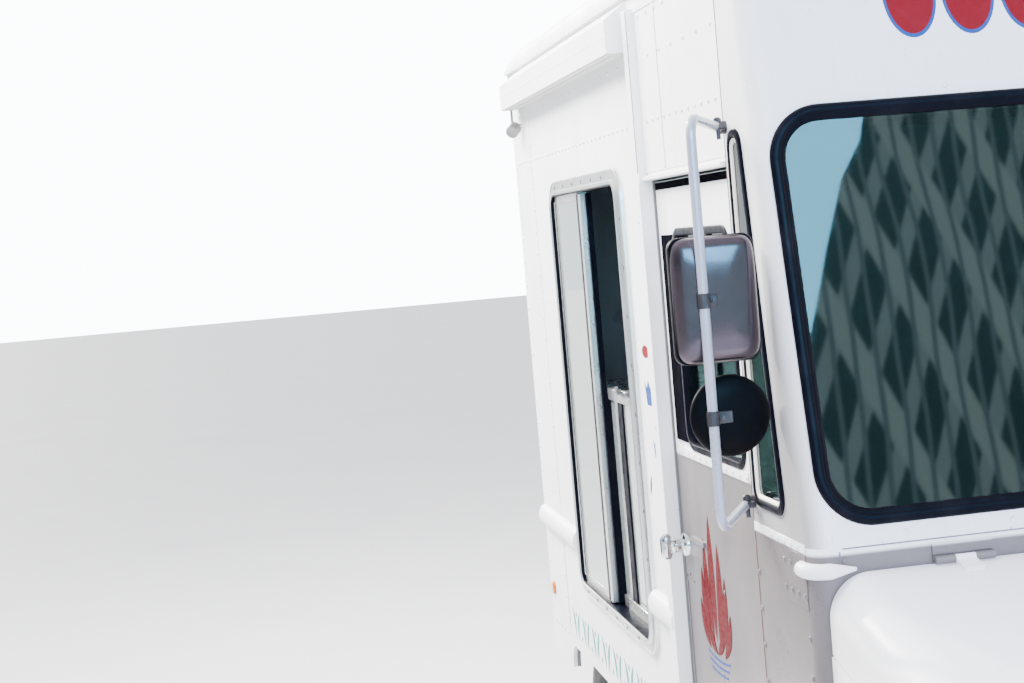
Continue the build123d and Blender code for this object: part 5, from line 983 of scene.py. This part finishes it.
pull = joined(tube(eased(pull_line, 0.004, 4, False), 0.0095, 12),
              strewn(PULL_ROSE, (BACK_FACE, PULL_Y, 1.25), (-1, 0, 0)))
piece("rear_pull_handle", *pull, chrome, "rear_door_left", "bright_bar")
STOP_X = (-1.9648, -1.9608)
stops = [slab(side, STOP_X, (0.978, 1.012), (0.76, 2.515), 0.0008) for side in (-1, 1)]
stops += [slab(1, STOP_X, (-0.978, 0.978), zs, 0.0008) for zs in ((2.478, 2.515), (0.76, 0.795))]
piece("rear_door_stops", *joined(*stops), rim_black, "body", "seal_black", smooth=False)
step_grip = [block((-2.2235, y - 0.036, 0.5452), (-2.0135, y + 0.036, 0.5472), 0.0006)
             for y in np.arange(-0.82, 0.83, 0.082) if abs(y) > 0.03]
piece("rear_step_treads", *joined(*step_grip), rim_black, "body", "seal_black", smooth=False)

# Roof: sheets lapped over each other in bowed strips with a rivet line, a finned vent, five
# amber marker lamps over the windscreen and two low on each side.
ROOF_ARC = 9.517
ROOF_CROWN = 2.94
amber = finish("amber_lens", (0.40, 0.075, 0.003), (0.24, 0.05, 0.004), 0.18, coat=0.3, patch=40, amount=0.3)


def roof_height(y):
    """Height of the roof crown at y: crown less R - sqrt(R^2 - y^2)."""
    return ROOF_CROWN - (ROOF_ARC - np.sqrt(ROOF_ARC ** 2 - np.square(y)))


LAP_POINTS = 41
VENT_X = -0.35
across = np.linspace(-0.985, 0.985, LAP_POINTS)
rivet_y = np.linspace(-0.95, 0.95, 26)
lap_end = np.arange(4)[None] * LAP_POINTS
roof_parts, roof_rivets = [], []
for x in (-1.62, -0.86, 0.22, 0.84):
    lap = [np.stack([np.full(LAP_POINTS, x + dx), across, roof_height(across) + dz], -1)
           for dx, dz in ((-0.014, 0.0002), (-0.013, 0.0022), (0.013, 0.0022), (0.014, 0.0002))]
    roof_parts.append((np.concatenate(lap), [grid_faces(4, LAP_POINTS, wrap_rows=True), lap_end,
                                             lap_end + LAP_POINTS - 1]))
    roof_rivets.append(np.stack([np.full(26, x), rivet_y, roof_height(rivet_y) + LAP], -1))
for side in (-1, 1):
    roof_rivets.append(row(np.arange(-1.92, 0.95, 0.09), side * 0.955, roof_height(0.955)))
    for z in (2.958, 2.977, 2.996):
        off = side * (0.231 - (z - 2.925) * 0.14)
        roof_parts += [block((VENT_X - 0.16, off - 0.004, z), (VENT_X + 0.16, off + 0.004, z + 0.010), 0.002),
                       block((VENT_X + off - 0.004, -0.16, z), (VENT_X + off + 0.004, 0.16, z + 0.010), 0.002)]
piece("roof_laps", *joined(*roof_parts), enamel, "body", "white_paint")
piece("roof_rivets", *strewn(RIVET, np.concatenate(roof_rivets), (0, 0, 1), 0.9), enamel, "body", "white_paint")
MARKER_LENS = turned((0.032, 0.0315, 0.027, 0.018, 0.0), (0.0, 0.006, 0.014, 0.019, 0.021), 24)
MARKER_BASE = turned((0.037, 0.0365, 0.033, 0.033), (0.0, 0.003, 0.0045, 0.001), 28)
SIDE_LENS = turned((0.026, 0.0255, 0.021, 0.0), (0.0, 0.005, 0.010, 0.012), 20)
markers = [face_point(y, 2.80, 0.0005) for y in (-0.90, -0.16, 0.0, 0.16, 0.90)]
piece("marker_lamps", *strewn(MARKER_LENS, markers, FACE_OUT), amber, "body", "lens")
piece("marker_bases", *strewn(MARKER_BASE, markers, FACE_OUT), rim_black, "body", "seal_black")
side_lamps = [strewn(SIDE_LENS, row((-1.90, 1.06), side * SKIN, 0.80), (0, side, 0)) for side in (-1, 1)]
piece("side_marker_lamps", *joined(*side_lamps), amber, "body", "lens")

# Cab fittings: moulded dashboard with two large and two small round dials and a row of knobs,
# and a thin-rimmed wheel with a chromed horn button, in worn black plastic.
dash_black = finish("dash_black", (0.03, 0.03, 0.032), (0.10, 0.09, 0.08), 0.6, patch=6, amount=0.35, depth=0.0004)
wheel_black = finish("wheel_black", (0.015, 0.015, 0.016), (0.05, 0.045, 0.04), 0.3, patch=9, amount=0.4)
dial_white = finish("dial_white", (0.75, 0.75, 0.72), (0.50, 0.48, 0.42), 0.4, patch=30, amount=0.4)
dress(dash_black, "dashboard")
dress(wheel_black, "steering_wheel")
DASH_OUT = np.array((-0.9994, 0, 0.036))
# Dials: distance from the middle, radius; the two large ones are behind the steering wheel.
DIALS = ((0.40, 0.055), (0.56, 0.055), (0.27, 0.030), (0.69, 0.030))
DIAL_MARK = turned((0.0022, 0.0022, 0.0), (0.0, 0.0006, 0.0007), 6)
KNOB = turned((0.006, 0.006, 0.012, 0.013, 0.010, 0.0), (-0.003, 0.010, 0.012, 0.020, 0.024, 0.0245), 16)
HORN = turned((0.034, 0.034, 0.030, 0.016, 0.0), (0.0, 0.006, 0.011, 0.015, 0.0155), 28)
bezels, marks = [], []
for y, radius in DIALS:
    centre = np.array((1.2268, y, 1.285))
    bezel = turned((radius + 0.007, radius + 0.007, radius + 0.003, radius, radius, 0.0),
                   (-0.002, 0.007, 0.011, 0.010, 0.004, 0.004), 36)
    bezels.append(strewn(bezel, centre, DASH_OUT))
    swing = np.linspace(-2.2, 2.2, 11)
    spots = np.stack([0 * swing, np.sin(swing), np.cos(swing)], -1)
    marks.append(strewn(DIAL_MARK, centre + 0.0045 * DASH_OUT + 0.8 * radius * spots, DASH_OUT))
    foot = centre + 0.006 * DASH_OUT
    marks.append(tube([foot, foot + 0.7 * radius * np.array((0, -0.6, 0.6))], 0.0012, 6))
piece("dash_dials", *joined(*bezels), wheel_black, "body", "dash_plastic")
piece("dash_dial_marks", *joined(*marks), dial_white, "body", "dash_plastic", smooth=False)
knobs = [(1.2295, y, 1.17) for y in np.arange(0.10, 0.90, 0.10)]
piece("dash_knobs", *strewn(KNOB, knobs, DASH_OUT), wheel_black, "body", "dash_plastic")
tilt = np.radians(40)
wheel_axis = np.array((-np.cos(tilt), 0, np.sin(tilt)))
horn = strewn(HORN, np.array((1.0, 0.48, 1.39)) + wheel_axis * 0.0203, wheel_axis)
piece("horn_button", *horn, chrome, "steering_wheel", "wheel_plastic")

# Driver's seat: two vinyl covers over foam, blown to shape, piped round the edge and sewn in
# channels across the wearing faces.
seat_vinyl = finish("seat_vinyl", (0.022, 0.022, 0.026), (0.07, 0.06, 0.055), 0.42, coat=0.15, patch=7, amount=0.45,
                    grain=900, depth=0.0005)
SEAM_DEPTH, SEAM_WIDTH = 0.009, 0.007


def swollen(name, loop, out, height, cap, channels):
    """Pad blown out of a plate by cloth pressure; a point moves by at most cap, and sewn lines sink
    by depth x exp(-(d / width)^2)."""
    points, faces = plate(loop, out, 0.0, height)
    start = piece(name + "_shape", points, faces, seat_vinyl, "body", "seat_vinyl", smooth=True)
    remesh = start.modifiers.new("even", "REMESH")
    remesh.mode = "VOXEL"
    remesh.voxel_size = 0.006
    mesh = bpy.data.meshes.new_from_object(start.evaluated_get(bpy.context.evaluated_depsgraph_get()))
    bpy.data.objects.remove(start)
    pad = bpy.data.objects.new(name, mesh)
    bpy.context.scene.collection.objects.link(pad)
    before = np.empty(len(mesh.vertices) * 3)
    mesh.vertices.foreach_get("co", before)
    before = before.reshape(-1, 3)
    after = before.copy()
    cloth = pad.modifiers.new("swell", "CLOTH")
    cloth.settings.quality = 4
    cloth.settings.use_pressure = True
    cloth.settings.uniform_pressure_force = 4
    cloth.settings.effector_weights.gravity = 0
    cloth.collision_settings.use_collision = False
    for moment in range(1, 21):
        bpy.context.scene.frame_set(moment)
    blown = pad.evaluated_get(bpy.context.evaluated_depsgraph_get()).to_mesh()
    moved = np.empty(len(before) * 3)
    blown.vertices.foreach_get("co", moved)
    pad.evaluated_get(bpy.context.evaluated_depsgraph_get()).to_mesh_clear()
    pad.modifiers.clear()
    bpy.context.scene.frame_set(1)
    step = moved.reshape(-1, 3) - before
    reach = np.linalg.norm(step, axis=1, keepdims=True)
    after = before + step * np.minimum(1, cap / np.maximum(reach, 1e-9))
    out = np.array(out, float)
    face = (before @ out) > (np.array(loop) @ out).max() + 0.6 * height
    for origin, normal in channels:
        away = np.abs((before - np.array(origin)) @ np.array(normal))
        sink = SEAM_DEPTH * np.exp(-np.square(away / SEAM_WIDTH)) * face
        after = after - sink[:, None] * out
    mesh.vertices.foreach_set("co", after.reshape(-1))
    mesh.materials.clear()
    mesh.materials.append(seat_vinyl)
    mesh.polygons.foreach_set("use_smooth", np.full(len(mesh.polygons), True))
    mesh.update()
    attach(pad, "body")
    return pad


CUSHION = [(0.6 + a * 0.205, 0.47 + b * 0.215, 1.085) for a, b in ((-1, -1), (1, -1), (1, 1), (-1, 1))]
BACK_OUT = unit(np.array((1.0, 0.0, 0.14)))
BACK_UP = np.array((-BACK_OUT[2], 0.0, BACK_OUT[0]))
back_foot = np.array((0.46, 0.47, 1.11)) - 0.088 * BACK_OUT
BACK = [back_foot + a * 0.205 * np.array((0, 1.0, 0)) + h * BACK_UP
        for a, h in ((-1, 0.018), (1, 0.018), (1, 0.582), (-1, 0.582))]
cushion = swollen("seat_cushion", eased(CUSHION, 0.05, 8), (0, 0, 1), 0.085, 0.014,
                  [((0.6 + x, 0, 0), (1.0, 0, 0)) for x in (-0.12, -0.04, 0.04, 0.12)])
swollen("seat_back", eased(BACK, 0.06, 8), BACK_OUT, 0.076, 0.012,
        [(back_foot + h * BACK_UP, BACK_UP) for h in (0.12, 0.22, 0.32, 0.42)])
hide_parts("driver_seat")
piping = eased([(0.389, 0.249, 1.163), (0.811, 0.249, 1.163), (0.811, 0.691, 1.163), (0.389, 0.691, 1.163)], 0.055, 8)
piece("seat_piping", *tube(np.concatenate([piping, piping[:2]]), 0.0042, 8), wheel_black, "body", "seat_vinyl")

# Galley: stainless counter under the window and a soft-serve machine with three taps, a drip
# tray and louvred panels.
steel = finish("counter_steel", (0.58, 0.58, 0.57), (0.40, 0.39, 0.37), 0.28, 1.0, patch=5, amount=0.4, grain=60,
               stretch=(1, 12, 12))
dress(steel, "serving_counter")
TAP_ROSE = turned((0.012, 0.012, 0.019, 0.019, 0.0), (0.0, 0.004, 0.006, 0.016, 0.0165), 24)
TAP_SPOUT = turned((0.0185, 0.0195, 0.016, 0.010, 0.0), (-0.002, 0.008, 0.018, 0.022, 0.018), 20)
half_turn = np.linspace(0, np.pi, 9)
TAP_BALL = turned(np.maximum(0.016 * np.sin(half_turn), 1e-5), 0.016 - 0.016 * np.cos(half_turn), 16)
galley_metal = [slab(1, (-1.21, -0.16), (-0.5585, -0.5555), (1.600, 1.638), 0.001)]
galley_dark = []
for x in (-0.56, -0.43, -0.30):
    galley_metal += [tube([(x, 0.352, 1.500), (x, 0.338, 1.535), (x, 0.300, 1.560)], 0.006, 10),
                     strewn(TAP_ROSE, (x, 0.3585, 1.42), (0, -1, 0)),
                     strewn(TAP_SPOUT, (x, 0.399, 1.2655), (0, 0, -1))]
    galley_dark.append(strewn(TAP_BALL, (x, 0.309, 1.553), (0, -0.8, 0.55)))
louvres = (*np.arange(1.56, 1.66, 0.017), *np.arange(0.86, 1.02, 0.022))
galley_dark += [slab(1, (-0.66, -0.20), (0.4355, 0.4385), (z, z + 0.008), 0.001) for z in louvres]
galley_dark += [slab(1, (x, x + 0.006), (0.262, 0.436), (1.1202, 1.1215), 0.0003)
                for x in np.arange(0, 0.45, 0.016) - 0.655]
piece("galley_metal", *joined(*galley_metal), chrome, "body", "counter_steel")
piece("galley_dark_trim", *joined(*galley_dark), wheel_black, "body", "dash_plastic", smooth=False)

# Painted decoration: plain motifs in sign enamel, brushed on by hand, with red and blue
# scallops over the windscreen, red leaves on the doors, dots and crowns behind them and
# turquoise waves along the sides.
sign_red = finish("sign_red", (0.15, 0.0012, 0.006), (0.19, 0.012, 0.016), 0.55, patch=40, amount=0.3, specular=0.12)
leaf_red = finish("leaf_red", (0.080, 0.0005, 0.0022), (0.11, 0.006, 0.008), 0.55, patch=40, amount=0.3, specular=0.12)
sign_blue = finish("sign_blue", (0.016, 0.05, 0.21), (0.05, 0.11, 0.30), 0.55, patch=40, amount=0.3, specular=0.12)
sign_green = finish("sign_green", (0.03, 0.20, 0.19), (0.14, 0.34, 0.32), 0.55, patch=60, amount=0.5, specular=0.12)
scallops = {"red": [], "blue": []}
for y in np.arange(-0.675, 0.68, 0.135):
    for paint, width, drop, low, high in (("blue", 0.062, 0.098, 0.0002, 0.0005),
                                          ("red", 0.055, 0.089, 0.0005, 0.0009)):
        loop = [face_point(y + width * np.cos(t), 2.626 - drop * np.sin(t)) for t in np.linspace(0, np.pi, 21)]
        scallops[paint].append(plate(loop, FACE_OUT, low, high))
for z, paint in ((2.638, "red"), (2.662, "blue")):
    line = [face_point(y, z + up) for y, up in ((-0.74, 0), (0.74, 0), (0.74, 0.012), (-0.74, 0.012))]
    scallops[paint].append(plate(line, FACE_OUT, 0.0002, 0.0007))
piece("header_scallops_red", *joined(*scallops["red"]), sign_red, "body", "white_paint", smooth=False)
piece("header_scallops_blue", *joined(*scallops["blue"]), sign_blue, "body", "white_paint", smooth=False)


def leaf(foot, tip, width, bend):
    """Outline of a leaf: width w sin(pi t)^0.8 across a line from foot to tip that bows by b sin(pi t)."""
    share = np.linspace(0.0, 1.0, 13)
    foot, tip = np.array(foot, float), np.array(tip, float)
    along = tip - foot
    side_way = np.array((-along[1], along[0])) / np.linalg.norm(along)
    middle = foot + along * share[:, None] + side_way * (bend * np.sin(np.pi * share))[:, None]
    spread = side_way * (width * np.sin(np.pi * share) ** 0.8)[:, None]
    return np.concatenate([middle + spread, (middle - spread)[1:-1][::-1]])


def painted(side, outline, proud=0.0007, face=HALF):
    """Brushed shape on a side wall from (x, z) corners, its enamel proud of the wall's face."""
    return plate([(x, side * face, z) for x, z in outline], (0, side, 0), 0.0002, proud)


# Leaves as foot, tip, width and bend in the door's (x, z).
LEAVES = (((0.475, 1.085), (0.470, 1.415), 0.028, 0.006), ((0.452, 1.08), (0.405, 1.345), 0.025, 0.014),
          ((0.500, 1.08), (0.538, 1.350), 0.026, -0.014), ((0.430, 1.068), (0.368, 1.262), 0.024, 0.016),
          ((0.522, 1.068), (0.588, 1.270), 0.025, -0.016), ((0.408, 1.055), (0.338, 1.175), 0.020, 0.012),
          ((0.545, 1.055), (0.622, 1.180), 0.020, -0.012), ((0.478, 1.052), (0.545, 1.125), 0.016, -0.008),
          ((0.470, 1.052), (0.400, 1.120), 0.016, 0.008))
for hand, side in (("left", 1), ("right", -1)):
    leaves = [painted(side, leaf(*shape), 0.0005 + 0.00012 * rank, DOOR_FACE) for rank, shape in enumerate(LEAVES)]
    piece("door_leaves_" + hand, *joined(*leaves), leaf_red, "cab_door_" + hand, "white_paint", smooth=False)
    bands = []
    for level, z in enumerate((1.040, 1.022, 1.004)):
        xs = np.linspace(0.375 + 0.014 * level, 0.585 - 0.014 * level, 17)
        top = z + 0.010 * np.square((xs - 0.48) / 0.11)
        bands.append(painted(side, [*zip(xs, top), *zip(xs[::-1], top[::-1] - 0.006)], face=DOOR_FACE))
    piece("door_bands_" + hand, *joined(*bands), sign_blue, "cab_door_" + hand, "white_paint", smooth=False)
DIAMOND = ((-0.011, 0), (0, -0.013), (0.011, 0), (0, 0.013))
CROWN = ((-0.6, -1), (0.6, -1), (1, 0.9), (0.5, 0.3), (0, 1), (-0.5, 0.3), (-1, 0.9))
waves, crowns, dots = [], [], []
for side in (-1, 1):
    for number, x in enumerate(np.arange(-1.52, -0.12, 0.088)):
        sway = 1 if number % 2 else -1
        shape = leaf((x - 0.020 * sway, 0.686), (x + 0.020 * sway, 0.794), 0.013, 0.012 * sway)
        waves.append(painted(side, shape, 0.0006))
        waves.append(painted(side, [(x + 0.044 + a, 0.740 - 0.036 * sway + b) for a, b in DIAMOND], 0.0006))
    for x, z, wide, tall in ((0.006, 1.70, 0.046, 0.036), (0.040, 1.545, 0.026, 0.026)):
        crowns.append(painted(side, [(x + a * wide, z + b * tall) for a, b in CROWN]))
    ring = np.arange(20) * np.pi / 10
    dots += [painted(side, zip(0.002 + 0.040 * np.cos(ring), 1.816 + 0.018 * np.sin(ring))),
             painted(side, leaf((-0.07, 1.40), (-0.05, 1.46), 0.008, 0.0))]
piece("side_waves", *joined(*waves), sign_green, "body", "white_paint", smooth=False)
piece("side_dots_blue", *joined(*crowns), sign_blue, "body", "white_paint", smooth=False)
piece("side_dots_red", *joined(*dots), sign_red, "body", "white_paint", smooth=False)

# Studio floor: one large board in pale grey paint under the tyres, wide enough for its edge to
# stay out of sight.
floor_paint = finish("studio_floor", (0.56, 0.56, 0.56), (0.50, 0.50, 0.50), 0.6, patch=0.5, amount=0.4)
FLOOR_REACH = 60.0
ground = bpy.data.meshes.new("studio_ground")
ground.from_pydata([(x * FLOOR_REACH, y * FLOOR_REACH, 0) for x, y in ((-1, -1), (1, -1), (1, 1), (-1, 1))], [],
                   [(0, 1, 2, 3)])
ground.materials.append(floor_paint)
studio_floor = bpy.data.objects.new("studio_ground", ground)
bpy.context.scene.collection.objects.link(studio_floor)
